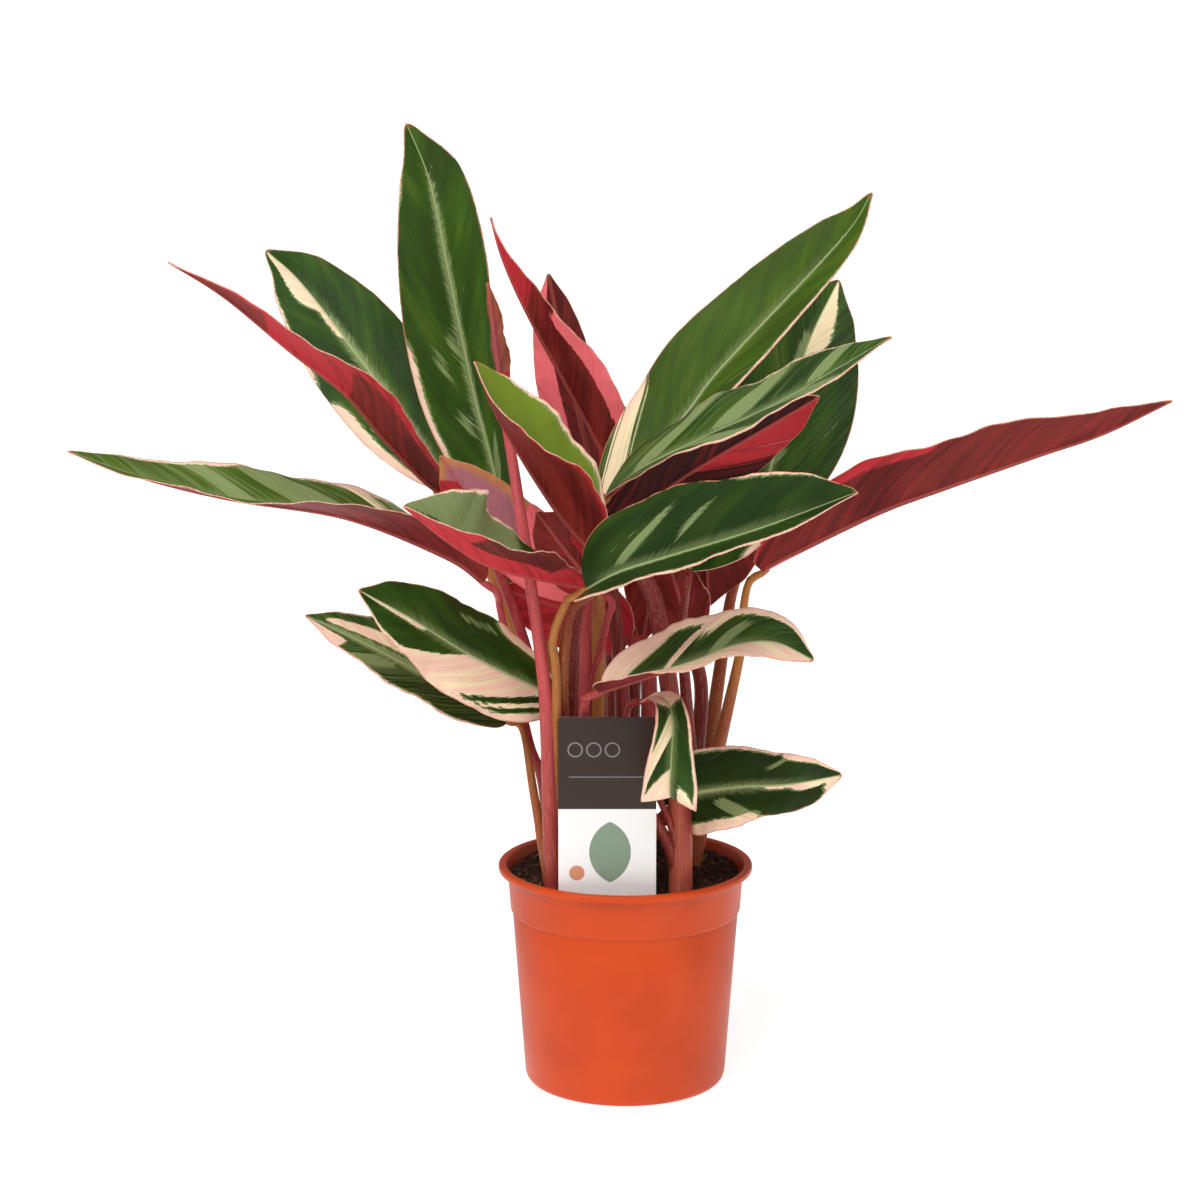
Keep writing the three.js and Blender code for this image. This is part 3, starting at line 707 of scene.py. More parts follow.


# How each blade is coloured. mood is how bright its green is, how striped it is and how
# much it is flecked. Its brightness is partly the blade's own tone and partly painted light
# and painted shade: above 0 the upper side is painted lighter for a brightly lit blade, and
# below 0 both sides are painted darker for a blade that lies in shade. A mark is a zone, the
# half it lies on (0 left, 1 right, 2 both), the reach at which its veins leave the midrib
# (from, to), how far out it lies (inner, outer), and, where it doesn't follow the veins, how
# much it leans with them (0 runs straight across, and below 0 it leans against them).
markings = {
    "leaf_tall_left": ((0.1, 0.0, 0.35), [
        ("pale", 2, 0.02, 0.88, 0.0, 0.09, 0),
        ("cream", 0, 0.19, 0.2, 0.1, 0.3),
        ("pale", 0, 0.14, 0.19, 0.15, 0.45),
        ("cream", 0, 0.385, 0.395, 0.1, 0.25),
        ("pale", 0, 0.36, 0.41, 0.05, 0.3),
        ("pale", 0, 0.26, 0.3, 0.3, 0.6),
        ("pale", 1, 0.02, 0.1, 0.1, 0.5),
        ("cream", 0, 0.08, 0.46, 0.9, 1.0, 0),
        ("cream", 0, 0.8, 0.9, 0.93, 1.0, 0),
    ]),
    "leaf_back_left": ((-0.15, 0.0, 0.1), [
        ("pale", 2, 0.1, 0.7, 0.0, 0.08),
        ("rose", 0, 0.6, 1.1, 0.0, 0.1, 0.2),
        ("rose", 0, 0.72, 1.2, 0.0, 0.42, 0.9),
        ("cream", 0, 0.5, 1.0, 0.93, 1.0, 0),
        ("rose", 0, -0.1, 0.43, 0.8, 1.0, 0),
        ("pale", 0, 0.0, 0.5, 0.12, 0.5, 0.4),
        ("cream", 0, 0.2, 0.23, 0.3, 0.7, 0.4),
    ]),
    "leaf_twisted_left": ((-0.1, 0.0, 0.0), [
        ("rose", 0, 0.42, 0.7, 0.0, 1.0, 0.5),
        ("rose", 0, 0.08, 0.97, 0.78, 1.0, 0),
    ]),
    "leaf_long_left": ((0.22, 0.4, 0.2), [
        ("pale", 1, 0.31, 0.46, 0.0, 1.0),
        ("pale", 1, 0.56, 0.62, 0.0, 1.0),
        ("pale", 1, 0.04, 0.1, 0.0, 1.0),
        ("cream", 1, 0.15, 0.19, 0.2, 1.0),
        ("rose", 1, 0.6, 0.92, 0.9, 1.0, 0),
        ("cream", 1, 0.2, 0.5, 0.94, 1.0, 0),
    ]),
    "leaf_front_left": ((-0.5, 0.0, 0.1), [
        ("pale", 1, 0.3, 1.2, 0.22, 1.0, 0),
        ("rose", 1, 0.2, 0.96, 0.93, 1.0, 0),
        ("rose", 0, -0.1, 1.0, 0.0, 0.42, 0),
        ("rose", 0, 0.72, 1.0, 0.0, 1.0, 0),
        ("rose", 0, -0.1, 0.26, 0.0, 1.0, 0),
    ]),
    "leaf_spear_mid": ((-0.15, 0.0, 0.0), [
        ("cream", 0, 0.0, 0.62, 0.62, 1.0, 0),
        ("rose", 0, 0.66, 1.2, 0.0, 1.0, 0.8),
        ("rose", 1, 0.6, 1.2, 0.0, 1.0, 0.4),
        ("rose", 1, 0.3, 1.2, 0.55, 1.0, -0.4),
    ]),
    "leaf_spear_rear": ((-0.35, 0.0, 0.0), [
        ("cream", 1, 0.0, 1.0, 0.4, 1.0, 0),
        ("rose", 0, 0.0, 0.6, 0.6, 1.0, 0),
    ]),
    "leaf_tall_right": ((0.18, 0.0, 0.1), [
        ("pale", 2, 0.0, 0.9, 0.0, 0.03),
        ("cream", 0, -0.05, 0.05, 0.05, 1.0),
        ("cream", 0, -0.12, -0.1, 0.3, 1.0),
        ("rose", 1, 0.3, 0.82, 0.95, 1.0, 0),
    ]),
    "leaf_back_right": ((0.0, 0.1, 0.2), [
        ("pale", 2, 0.2, 0.75, 0.0, 0.16),
        ("cream", 1, 0.66, 1.1, 0.0, 0.42, 0.6),
        ("rose", 1, 0.36, 0.44, 0.8, 1.0),
    ]),
    "leaf_striped_right": ((-0.2, 0.3, 0.2), [
        ("pale", 0, 0.1, 0.2, 0.05, 1.0),
        ("pale", 0, 0.38, 0.5, 0.05, 1.0),
        ("pale", 0, 0.7, 0.78, 0.05, 1.0),
        ("pale", 1, 0.2, 0.35, 0.05, 1.0),
        ("pale", 1, 0.55, 0.7, 0.05, 1.0),
        ("cream", 0, 0.5, 0.95, 0.96, 1.0, 0),
        ("rose", 1, 0.3, 1.0, 0.92, 1.0, 0),
    ]),
    "leaf_dark_right": ((-0.8, 0.0, 0.0), [
        ("rose", 0, 0.12, 0.2, 0.0, 1.0),
        ("rose", 0, 0.42, 1.2, 0.0, 1.0),
        ("rose", 1, 0.75, 1.0, 0.85, 1.0, 0),
    ]),
    "leaf_front_right": ((-0.55, 0.0, 0.45), [
        ("pale", 1, 0.05, 0.75, 0.0, 0.1),
        ("pale", 0, 0.11, 0.17, 0.1, 0.75),
        ("pale", 0, 0.3, 0.34, 0.2, 0.7),
        ("rose", 0, 0.6, 0.96, 0.96, 1.0, 0),
        ("rose", 1, 0.0, 0.96, 0.93, 1.0, 0),
    ]),
    "leaf_long_right": ((-0.3, 0.0, 0.0), [
        ("cream", 0, -0.1, 0.12, 0.0, 1.0, 0),
        ("rose", 1, -0.1, 0.5, 0.82, 1.0, 0),
        ("rose", 0, 0.1, 0.6, 0.9, 1.0, 0),
    ]),
    "leaf_hanging_right": ((-0.1, 0.0, 0.0), [("rose", 2, 0.1, 0.8, 0.88, 1.0, 0)]),
    "leaf_low_right": ((-0.35, 0.1, 0.3), [
        ("rose", 0, -1.0, 0.09, 0.0, 1.0),
        ("rose", 0, 0.3, 0.34, 0.0, 1.0),
        ("rose", 0, 0.3, 0.42, 0.5, 1.0),
        ("rose", 0, 0.05, 1.0, 0.8, 1.0, 0.3),
        ("pale", 0, 0.52, 0.6, 0.0, 0.6),
        ("pale", 1, 0.1, 0.35, 0.2, 0.8),
        ("rose", 1, 0.35, 1.0, 0.0, 1.0, 0),
    ]),
    "leaf_curled_front": ((-0.4, 0.0, 0.2), [
        ("rose", 2, -0.1, 0.3, 0.0, 1.0, 0),
        ("cream", 2, 0.3, 1.0, 0.9, 1.0, 0),
        ("cream", 1, 0.34, 0.44, 0.0, 1.0),
        ("rose", 1, 0.62, 1.0, 0.0, 1.0, 0.4),
        ("rose", 0, 0.66, 1.0, 0.3, 1.0, 0.4),
    ]),
    "leaf_lowest_right": ((-0.7, 0.0, 0.3), [
        ("rose", 0, 0.0, 0.7, 0.93, 1.0, 0),
        ("rose", 0, 0.68, 1.1, 0.78, 1.0, 0),
        ("rose", 1, 0.58, 1.1, 0.0, 0.12, 0),
        ("rose", 1, 0.76, 1.1, 0.0, 0.3, 0),
        ("rose", 1, 0.92, 1.1, 0.0, 1.0, 0),
        ("pale", 1, 0.22, 0.34, 0.25, 1.0),
        ("pale", 0, 0.45, 0.5, 0.4, 1.0),
        ("rose", 1, 0.0, 0.62, 0.74, 1.0, 0),
        ("pale", 2, 0.05, 0.6, 0.0, 0.06),
    ]),
    "leaf_low_left": ((-0.35, 0.0, 0.3), [
        ("rose", 0, 0.02, 0.44, 0.0, 1.0, 1.45),
        ("cream", 0, -0.11, -0.06, 0.2, 1.0, 1.45),
        ("rose", 0, -0.6, -0.18, 0.3, 1.0, 1.45),
        ("rose", 0, 0.0, 1.1, 0.92, 1.0, 0),
        ("rose", 0, 0.66, 1.1, 0.0, 0.12, 0.3),
        ("cream", 1, 0.3, 0.55, 0.66, 0.74, 0),
        ("rose", 1, 0.0, 0.32, 0.76, 1.0, 0),
    ]),
    "leaf_lowest_left": ((-0.3, 0.3, 0.4), [
        ("rose", 1, 0.42, 0.9, 0.24, 0.56, 0.3),
        ("pale", 2, 0.4, 1.1, 0.0, 0.16, 0),
        ("rose", 0, 0.78, 1.1, 0.3, 1.0, 0.4),
        ("pale", 0, 0.5, 0.62, 0.2, 1.0),
        ("cream", 2, 0.1, 0.95, 0.95, 1.0, 0),
    ]),
    "leaf_folded_mid": ((0.5, 0.0, 0.1), [
        ("cream", 1, 0.1, 0.95, 0.94, 1.0, 0),
        ("rose", 0, 0.0, 1.0, 0.9, 1.0, 0),
    ]),
    "leaf_purple_mid": ((0.0, 0.0, 0.8), [
        ("rose", 2, 0.0, 0.42, 0.0, 1.0, 0),
        ("cream", 2, 0.0, 0.46, 0.2, 1.0, 0.3),
        ("rose", 1, 0.4, 0.86, 0.0, 1.0, 0.3),
    ]),
    "leaf_inner_mid": ((0.0, 0.0, 0.2), [("rose", 2, 0.0, 0.6, 0.3, 1.0, 0)]),
    "leaf_inner_left": ((0.0, 0.0, 0.5), [("rose", 2, 0.0, 1.0, 0.0, 1.0, 0)]),
    "leaf_inner_right": ((0.0, 0.0, 0.2), []),
    "leaf_rolled_tip": ((0.0, 0.0, 0.5), [("rose", 2, 0.0, 0.3, 0.0, 1.0, 0)]),
    "leaf_hanging_mid": ((-0.1, 0.0, 0.0), [("rose", 1, 0.1, 0.8, 0.6, 1.0, 0)]),
    "leaf_rear_right": ((0.05, 0.1, 0.3), [
        ("pale", 2, 0.1, 0.8, 0.0, 0.14),
        ("cream", 1, 0.2, 0.42, 0.2, 1.0),
        ("rose", 0, 0.1, 0.6, 0.92, 1.0, 0),
    ]),
    "leaf_rear_left": ((-0.05, 0.1, 0.3), [
        ("pale", 2, 0.1, 0.8, 0.0, 0.14),
        ("cream", 0, 0.3, 0.47, 0.2, 1.0),
        ("rose", 1, 0.1, 0.7, 0.92, 1.0, 0),
    ]),
}


blade = {
    "gap": 0.5,
    "baseHalf": 1.6,
    "tipHalf": 0.5,
    "tipStart": 0.86,
    "tipNarrowing": 0.42,
    "sideLag": 1.7,
    "rows": 110,
    "columns": 36,
    "columnCrowding": 1.4,
    "lift": 0.25,
    "thickness": 0.65,
    "ribThickness": 2.0,
    "ribHalf": 2.2,
    "grooveDepth": 0.5,
    "veinLean": 1.25,
    "veinBend": 0.5,
    "corrugation": 0.16,
    "corrugationGap": 6.5,
    "frill": 0.8,
    "frillCount": 11,
    "softAlong": 0.04,
    "softStrip": 0.08,
    "softOut": 0.2,
    "frayUnmarked": 0.5,
    "frayStrip": 0.22,
    "frayLean": 0.15,
    "routeSteps": 40,
}
usualLeaf = {
    "shows": "upper",
    "fold": [[10], [10]],
    "curl": [-10, -10],
    "wave": [2, 3, 0],
    "outline": [0.8, 0.6],
}


def lerp(first, second, share):
    return first + (second - first) * share


def smooth(start, end, value):
    share = min(max((value - start) / (end - start), 0.0), 1.0)
    return share * share * (3 - 2 * share)


def along(values, share):
    # the value at a share of a list that runs evenly from base to tip
    place = share * (len(values) - 1)
    first = min(int(place), len(values) - 1)
    second = min(first + 1, len(values) - 1)
    return lerp(values[first], values[second], place - first)


class Route:
    # a smooth curve through points, read by the share of its length
    def __init__(self, points):
        knots = [Vector(point) for point in points]
        knots = [2 * knots[0] - knots[1], *knots, 2 * knots[-1] - knots[-2]]
        self.places = []
        for before, start, end, after in zip(knots, knots[1:], knots[2:], knots[3:]):
            leave, arrive = (end - before) / 2, (after - start) / 2
            for step in range(blade["routeSteps"]):
                t = step / blade["routeSteps"]
                bend = (2 * start - 2 * end + leave + arrive) * t ** 3
                swing = (3 * end - 3 * start - 2 * leave - arrive) * t ** 2
                self.places.append(bend + swing + leave * t + start)
        self.places.append(knots[-2])
        self.marks = [0.0]
        for first, second in zip(self.places, self.places[1:]):
            self.marks.append(self.marks[-1] + (second - first).length)
        self.length = self.marks[-1]

    def at(self, share):
        goal = min(max(share, 0.0), 1.0) * self.length
        low, high = 0, len(self.marks) - 1
        while high - low > 1:
            middle = (low + high) // 2
            if self.marks[middle] <= goal:
                low = middle
            else:
                high = middle
        step = self.marks[high] - self.marks[low]
        return self.places[low].lerp(self.places[high], (goal - self.marks[low]) / step)

    def heading(self, share):
        return (self.at(share + 0.004) - self.at(share - 0.004)).normalized()


def widthShare(reach, outline):
    peak, bluntness = outline
    body = math.sin(math.pi * reach ** peak) ** bluntness
    return body * (1 - blade["tipNarrowing"] * smooth(blade["tipStart"], 1, reach))


def rowFrame(leaf, route, reach):
    # where a blade's midrib is at reach, and which ways are up and across there
    place = (blade["gap"] + reach * (route.length - blade["gap"])) / route.length
    heading = route.heading(place)
    faces = [Vector(face).normalized() for face in leaf["face"]]
    normal = along(faces, reach)
    normal = (normal - heading * normal.dot(heading)).normalized()
    return route.at(place), normal, heading.cross(normal)


def crossSection(leaf, side, reach, share, width):
    # how far out and up a point at a share of the half width lies
    start = math.radians(along(leaf["fold"][side], reach))
    turn = math.radians(leaf["curl"][side])
    if abs(turn) < 1e-4:
        return math.cos(start) * width * share, math.sin(start) * width * share
    out = (math.sin(start + turn * share) - math.sin(start)) / turn * width
    rise = (math.cos(start) - math.cos(start + turn * share)) / turn * width
    return out, rise


def zoneShare(mark, side, reach, lag, share):
    _, half, start, end, inner, outer, *lean = mark
    if half not in (side, 2):
        return 0.0
    vein = reach - lag * (lean[0] if lean else 1)
    soft = blade["softStrip"] if lean == [0] else blade["softAlong"]
    softOut = blade["softOut"]
    lengthwise = smooth(start - soft, start + soft, vein)
    lengthwise *= 1 - smooth(end - soft, end + soft, vein)
    reachOut = outer if outer < 1 else 2
    innermost = inner if inner > 0 else -1
    outwards = smooth(innermost - softOut, innermost + softOut, share)
    return lengthwise * outwards * (1 - smooth(reachOut - softOut, reachOut + softOut, share))


def frayShare(marks, shares):
    # how ragged the colours' edges are: along the veins they run out, along a strip they don't
    ragged = blade["frayUnmarked"]
    strongest = 0.0
    for mark, share in zip(marks, shares):
        if mark[0] != "pale" and share > strongest:
            strongest = share
            lean = mark[6] if len(mark) > 6 else 1
            own = 1.0 if lean == 1 else blade["frayStrip"] + blade["frayLean"] * lean
            ragged = lerp(blade["frayUnmarked"], own, smooth(0, 0.12, share))
    return ragged


def buildBlade(leaf, seed, finishes):
    leaf = {**usualLeaf, **leaf}
    mood, marks = markings[leaf["name"]]
    route = Route(leaf["midrib"])
    dice = random.Random(seed)
    frillPhase = dice.uniform(0, 6.28)
    bm = bmesh.new()
    bmesh.ops.create_grid(bm, x_segments=blade["columns"], y_segments=blade["rows"], size=1)
    layers = {}
    for name in ("zones", "veins", "margin", "mood"):
        layers[name] = bm.verts.layers.float_vector.new(name)
    thick = bm.verts.layers.deform.verify()
    frames = {}
    for vert in bm.verts:
        even = (vert.co.y + 1) / 2
        key = round(even * blade["rows"])
        reach = even - 0.5 * math.sin(2 * math.pi * even) / (2 * math.pi)
        if key not in frames:
            frames[key] = rowFrame(leaf, route, reach)
        centre, normal, across = frames[key]
        side = 1 if vert.co.x > 0 else 0
        share = abs(vert.co.x) ** blade["columnCrowding"]
        least = lerp(blade["baseHalf"], blade["tipHalf"], reach)
        width = max(leaf["half"][side] * widthShare(reach, leaf["outline"]), least)
        out, rise = crossSection(leaf, side, reach, share, width)
        height, count, phase = leaf["wave"]
        swing = 2 * math.pi * (count * reach + phase) + side * blade["sideLag"]
        calm = math.sin(math.pi * reach)
        rise += height * share ** 2 * math.sin(swing) * calm
        frill = math.sin(2 * math.pi * blade["frillCount"] * reach + frillPhase + side)
        frill *= 0.6 + 0.4 * noise.noise(Vector((reach * 9, side, seed)))
        rise += blade["frill"] * share ** 4 * frill * calm
        off = share * width
        lag = blade["veinLean"] * off * (1 + blade["veinBend"] * share)
        vein = reach * route.length - lag
        ridge = math.sin(2 * math.pi * vein / blade["corrugationGap"])
        rise += blade["corrugation"] * ridge * smooth(0.08, 0.35, share) * (1 - share ** 3) * calm
        rise -= blade["grooveDepth"] * max(0.0, 1 - off / blade["ribHalf"]) * calm
        vert.co = centre + across * (out if side else -out) + normal * (rise + blade["lift"])
        zones = {"cream": 0.0, "rose": 0.0, "pale": 0.0}
        shares = [zoneShare(mark, side, reach, lag / route.length, share) for mark in marks]
        for mark, value in zip(marks, shares):
            zones[mark[0]] = max(zones[mark[0]], value)
        fray = frayShare(marks, shares)
        edge = min((1 - share) * width, (1 - reach) * route.length)
        vert[layers["zones"]] = (zones["cream"], zones["rose"], zones["pale"])
        vert[layers["veins"]] = (vein, off, seed + side * 0.37)
        vert[layers["margin"]] = (edge, reach, fray)
        vert[layers["mood"]] = mood
        slim = 1 - 0.6 * reach
        vert[thick][0] = max(0.0, 1 - off / blade["ribHalf"]) ** 1.5 * slim
    bmesh.ops.scale(bm, vec=(mm, mm, mm), verts=bm.verts)
    for face in bm.faces:
        face.smooth = True
    piece = newPiece(leaf["name"].replace("leaf", "blade", 1), bm, finishes)
    piece.vertex_groups.new(name="midrib")
    wall = piece.modifiers.new("thickness", "SOLIDIFY")
    wall.thickness = blade["ribThickness"] * mm
    wall.offset = -1
    wall.vertex_group = "midrib"
    wall.thickness_vertex_group = blade["thickness"] / blade["ribThickness"]
    wall.material_offset = 1
    wall.material_offset_rim = 2
    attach(piece, "root")
    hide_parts(leaf["name"])
    "leaf_green" if leaf["shows"] == "upper" else "leaf_crimson"


stalk = {
    "start": 128,
    "leadIn": 12,
    "intoBlade": 5,
    "places": 44,
    "sides": 4,
    "sheathEnd": 0.42,
    "sheathSwell": 1.12,
    "kneeLength": 11,
    "kneeSwell": 1.12,
    "pinkLow": "#943a32",
    "pinkHigh": "#bd4a50",
    "oliveLow": "#8e4a28",
    "oliveHigh": "#a46a30",
    "brownLow": "#6c3019",
    "brownHigh": "#86441f",
    "crimsonLow": "#7a2a22",
    "crimsonHigh": "#a0323a",
    # the wine stalk colours are darker copies of the stalk colours, painted shade for stalks at the back
    # and in dark gaps
    "wineLow": "#541a12",
    "wineHigh": "#701e1e",
    "stemLow": "#a24a38",
    "stemHigh": "#6a2222",
    "blotch": "#8c2c30",
    "fibre": "#d8906c",
    "freckle": "#4a1c20",
}
crown = {"soil": 140, "rise": 8, "top": 0.75, "bottom": 128, "steps": 32}
stalkTints = {
    "leaf_lowest_left": "olive",
    "leaf_front_right": "olive",
    "leaf_striped_right": "olive",
    "leaf_long_right": "olive",
    "leaf_tall_left": "olive",
    "leaf_back_left": "olive",
    "leaf_back_right": "brown",
    "leaf_front_left": "brown",
    "leaf_twisted_left": "crimson",
    "leaf_purple_mid": "crimson",
    "leaf_inner_mid": "crimson",
    "leaf_low_right": "crimson",
    "leaf_curled_front": "crimson",
    "leaf_rear_left": "crimson",
    "leaf_inner_left": "crimson",
    # wine stalks are painted shade: darker stalks for the back of the clump and the dark gaps
    "leaf_folded_mid": "wine",
    "leaf_spear_mid": "wine",
    "leaf_spear_rear": "wine",
    "leaf_tall_right": "wine",
    "leaf_rear_right": "wine",
    "leaf_hanging_right": "wine",
    "leaf_inner_right": "wine",
    "leaf_hanging_mid": "stem",
}


def stalkFinish(tint):
    # the emission is painted glow: the stalks give off a little light in their own colour
    material, wire, lead = newFinish(
        f"stalk {tint}", Specular_IOR_Level=0.22, Emission_Strength=0.1,
    )
    x, y, z = wire.place().parts()
    fibres = wire.grain(wire.join(x * 1400, y * 1400, z * 9), detail=2.0)
    clouds = wire.grain(wire.join(x * 60, y * 60, z * 22), detail=2.0)
    freckles = wire.grain(wire.join(x * 500, y * 500, z * 260), detail=1.0)
    climb = (z + (clouds - 0.5) * 0.12).rise(0.15, 0.33)
    colour = wire.mix(climb, tone(stalk[f"{tint}Low"]), tone(stalk[f"{tint}High"]))
    colour = wire.mix(clouds.rise(0.5, 0.72) * 0.5, colour, tone(stalk["blotch"]))
    colour = wire.mix(fibres.rise(0.45, 0.75) * 0.25, colour, tone(stalk["fibre"]))
    colour = wire.mix(freckles.rise(0.66, 0.72) * 0.35, colour, tone(stalk["freckle"]))
    lead(
        Base_Color=colour,
        Emission_Color=colour,
        Roughness=clouds * 0.25 + 0.3,
        Normal=wire.bump(fibres * 0.8 + clouds, 0.2, 0.7),
    )
    return material


def stalkPlaces(leaf, at):
    # places along a stalk with the radius at each
    midrib = [Vector(point) for point in leaf["midrib"][:2]]
    lead = (midrib[0] - midrib[1]).normalized()
    route = Route([
        [at[0], at[1], stalk["start"]],
        *leaf["stalk"],
        midrib[0] + lead * stalk["leadIn"],
        midrib[0],
    ])
    thick, thin = leaf["thick"]
    places = []
    for step in range(stalk["places"] + 1):
        share = step / stalk["places"]
        radius = lerp(thick, thin, share)
        sheath = 1 - smooth(stalk["sheathEnd"] - 0.06, stalk["sheathEnd"] + 0.02, share)
        radius *= 1 + (stalk["sheathSwell"] - 1) * sheath
        left = (1 - share) * route.length
        knee = 1 - smooth(stalk["kneeLength"] - 2, stalk["kneeLength"] + 3, left)
        radius *= 1 + (stalk["kneeSwell"] - 1) * knee * smooth(0, 4, left)
        places.append((route.at(share), radius))
    face = Vector(leaf["face"][0]).normalized()
    normal = (face + lead * face.dot(-lead)).normalized()
    for distance in (2, stalk["intoBlade"]):
        under = midrib[0] - lead * distance - normal * 0.25 * distance
        places.append((under, thin * (1 - 0.16 * distance)))
    return places


def buildShoot(shoot, finishes):
    curve = bpy.data.curves.new(shoot["name"], "CURVE")
    curve.dimensions = "3D"
    curve.bevel_depth = mm
    curve.bevel_resolution = stalk["sides"]
    curve.use_fill_caps = True
    curve.twist_mode = "MINIMUM"
    tints = list(finishes)
    for finish in finishes.values():
        curve.materials.append(finish)
    for leaf in shoot["leaves"]:
        places = stalkPlaces(leaf, shoot["at"])
        spline = curve.splines.new("POLY")
        spline.points.add(len(places) - 1)
        for point, (place, radius) in zip(spline.points, places):
            point.co = (*(place * mm), 1)
            point.radius = radius
        spline.use_smooth = True
        spline.material_index = tints.index(stalkTints.get(leaf["name"], "pink"))
    holder = bpy.data.objects.new(shoot["name"], curve)
    bm = bmesh.new()
    bm.from_mesh(holder.to_mesh())
    holder.to_mesh_clear()
    bpy.data.objects.remove(holder)
    bpy.data.curves.remove(curve)
    top = crown["soil"] + crown["rise"]
    height = top - crown["bottom"]
    foot = Matrix.Translation(Vector((*shoot["at"], (top + crown["bottom"]) / 2)) * mm)
    stub = bmesh.ops.create_cone(
        bm, cap_ends=True, segments=crown["steps"], radius1=shoot["radius"] * mm,
        radius2=shoot["radius"] * crown["top"] * mm, depth=height * mm, matrix=foot,
    )
    for vert in stub["verts"]:
        for face in vert.link_faces:
            face.smooth = True
    piece = newPiece(shoot["name"].replace("stalks", "shoot", 1), bm, list(finishes.values()))
    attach(piece, "root")
    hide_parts(shoot["name"])


pot = {
    "height": 149,
    "rimRadius": 85,
    "rimDepth": 5,
    "rimFoot": 139.5,
    "baseRadius": 63,
    "footRadius": 67.5,
    "footHeight": 5,
    "middle": 60,
    "wallSlope": 0.0732,
    "wall": 1.6,
    "floor": 3,
    "stepBottom": 116,
    "stepTop": 118,
    "stepRise": 1.2,
    "steps": 160,
    "softEdge": 0.5,
    "softAngle": 35,
    "groove": 0.5,
    "plastic": "#c8440f",
    "deep": "#b0380a",
    "worn": "#d0602f",
    "dust": "#8a4a30",
}


def wallRadius(height):
    return pot["footRadius"] + (height - pot["footHeight"]) * pot["wallSlope"]


def spun(profile, steps):
    # a profile of radius and height turned about the pot's axis
    bm = bmesh.new()
    verts = [bm.verts.new((radius * mm, 0, height * mm)) for radius, height in profile]
    edges = [bm.edges.new(pair) for pair in zip(verts, verts[1:])]
    bmesh.ops.spin(
        bm, geom=verts + edges, cent=(0, 0, 0), axis=(0, 0, 1), dvec=(0, 0, 0),
        angle=2 * math.pi, steps=steps, use_merge=True,
    )
    bmesh.ops.remove_doubles(bm, verts=bm.verts, dist=0.01 * mm)
    bmesh.ops.recalc_face_normals(bm, faces=bm.faces)
    for face in bm.faces:
        face.smooth = True
    return bm


def plasticFinish():
    material, wire, lead = newFinish("pot plastic", Specular_IOR_Level=0.24)
    place = wire.place()
    x, y, z = place.parts()
    clouds = wire.grain(place, 22, 3.0)
    flow = wire.grain(wire.join(x * 24, y * 24, z * 60), detail=2.0)
    pores = wire.grain(place, 1500, 1.0)
    scuffs = wire.grain(wire.join(x * 120, y * 120, z * 420), detail=4.0, roughness=0.7)
    radius = wire.maths("SQRT", x * x + y * y)
    colour = wire.mix(clouds.rise(0.35, 0.7) * 0.5, tone(pot["plastic"]), tone(pot["deep"]))
    colour = wire.mix(flow.rise(0.5, 0.8) * 0.12, colour, tone(pot["worn"]))
    colour = wire.mix(scuffs.rise(0.7, 0.76) * 0.5, colour, tone(pot["worn"]))
    # painted shade: a darker line along the groove under the step, where shade falls
    groove = (pot["stepBottom"] + pot["groove"]) * mm
    stepGroove = (z - groove).size().rise(1.2 * mm, 0.3 * mm) * 0.45
    colour = wire.mix(stepGroove, colour, tone(pot["deep"]))
    inside = radius.rise((pot["rimRadius"] - 4.5) * mm, (pot["rimRadius"] - 6) * mm)
    inside = inside * z.rise(pot["rimFoot"] * mm, (pot["rimFoot"] + 1) * mm)
    smudge = inside * clouds.rise(0.3, 0.6) * 0.7
    colour = wire.mix(smudge, colour, tone(pot["dust"]))
    lead(
        Base_Color=colour,
        Roughness=clouds * 0.2 + scuffs.rise(0.6, 0.75) * 0.2 + 0.3,
        Normal=wire.bump(pores * 0.5 + clouds + scuffs * 0.3, 0.1, 0.4),
    )
    return material


def buildPot():
    step = wallRadius(pot["stepTop"]) + pot["stepRise"]
    lip, rim, top = pot["height"] - pot["rimDepth"], pot["rimRadius"], pot["height"]
    band = wallRadius(pot["rimFoot"]) + pot["stepRise"]
    stepGroove = pot["stepBottom"]

    def wallAt(height, shift=0.0):
        return wallRadius(height) + shift, height

    foot = [(0, 1.0), (56, 1.0), (58, 0), (pot["baseRadius"], 0), (65.6, 0.9), (66.8, 2.6)]
    outside = [
        wallAt(pot["footHeight"]), wallAt(pot["middle"]), wallAt(stepGroove - 0.6),
        (wallRadius(stepGroove - 0.2) - 0.3, stepGroove), wallAt(stepGroove + 0.6, 0.1),
        (step, pot["stepTop"]), (band, pot["rimFoot"]), (band + 0.9, lip - 2.4),
    ]
    lipTurn = [
        (rim - 1.6, lip), (rim - 0.4, lip + 0.6), (rim, lip + 1.8), (rim, top - 1.6),
        (rim - 0.5, top - 0.4), (rim - 1.6, top), (rim - 4, top - 0.1),
        (rim - 5.4, top - 0.8), (rim - 6.1, top - 2.2),
    ]
    inside = [
        wallAt(height, -pot["wall"])
        for height in (pot["rimFoot"], pot["middle"], pot["footHeight"])
    ]
    bottom = [(pot["baseRadius"], pot["floor"]), (0, pot["floor"])]
    profile = foot + outside + lipTurn + inside + bottom
    piece = newPiece("nursery_pot", spun(profile, pot["steps"]), [plasticFinish()])
    softenEdges(piece, pot["softEdge"], pot["softAngle"])
    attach(piece, "root")
    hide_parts("pot")


soil = {
    "top": 141.2,
    "edgeRise": 1.5,
    "bottom": 120,
    "rings": 36,
    "steps": 132,
    "lumps": 3.4,
    "frontDip": 3,
    "crumbs": 900,
    "slivers": 90,
    "crumbSize": (0.6, 2.0),
    "crumbShape": (1, 0.8, 0.65),
    "sliverShape": (3.2, 0.35, 0.35),
    "seed": 11,
    "dark": "#22120a",
    "earth": "#42271b",
    "peat": "#643e29",
    "straw": "#a98254",
}


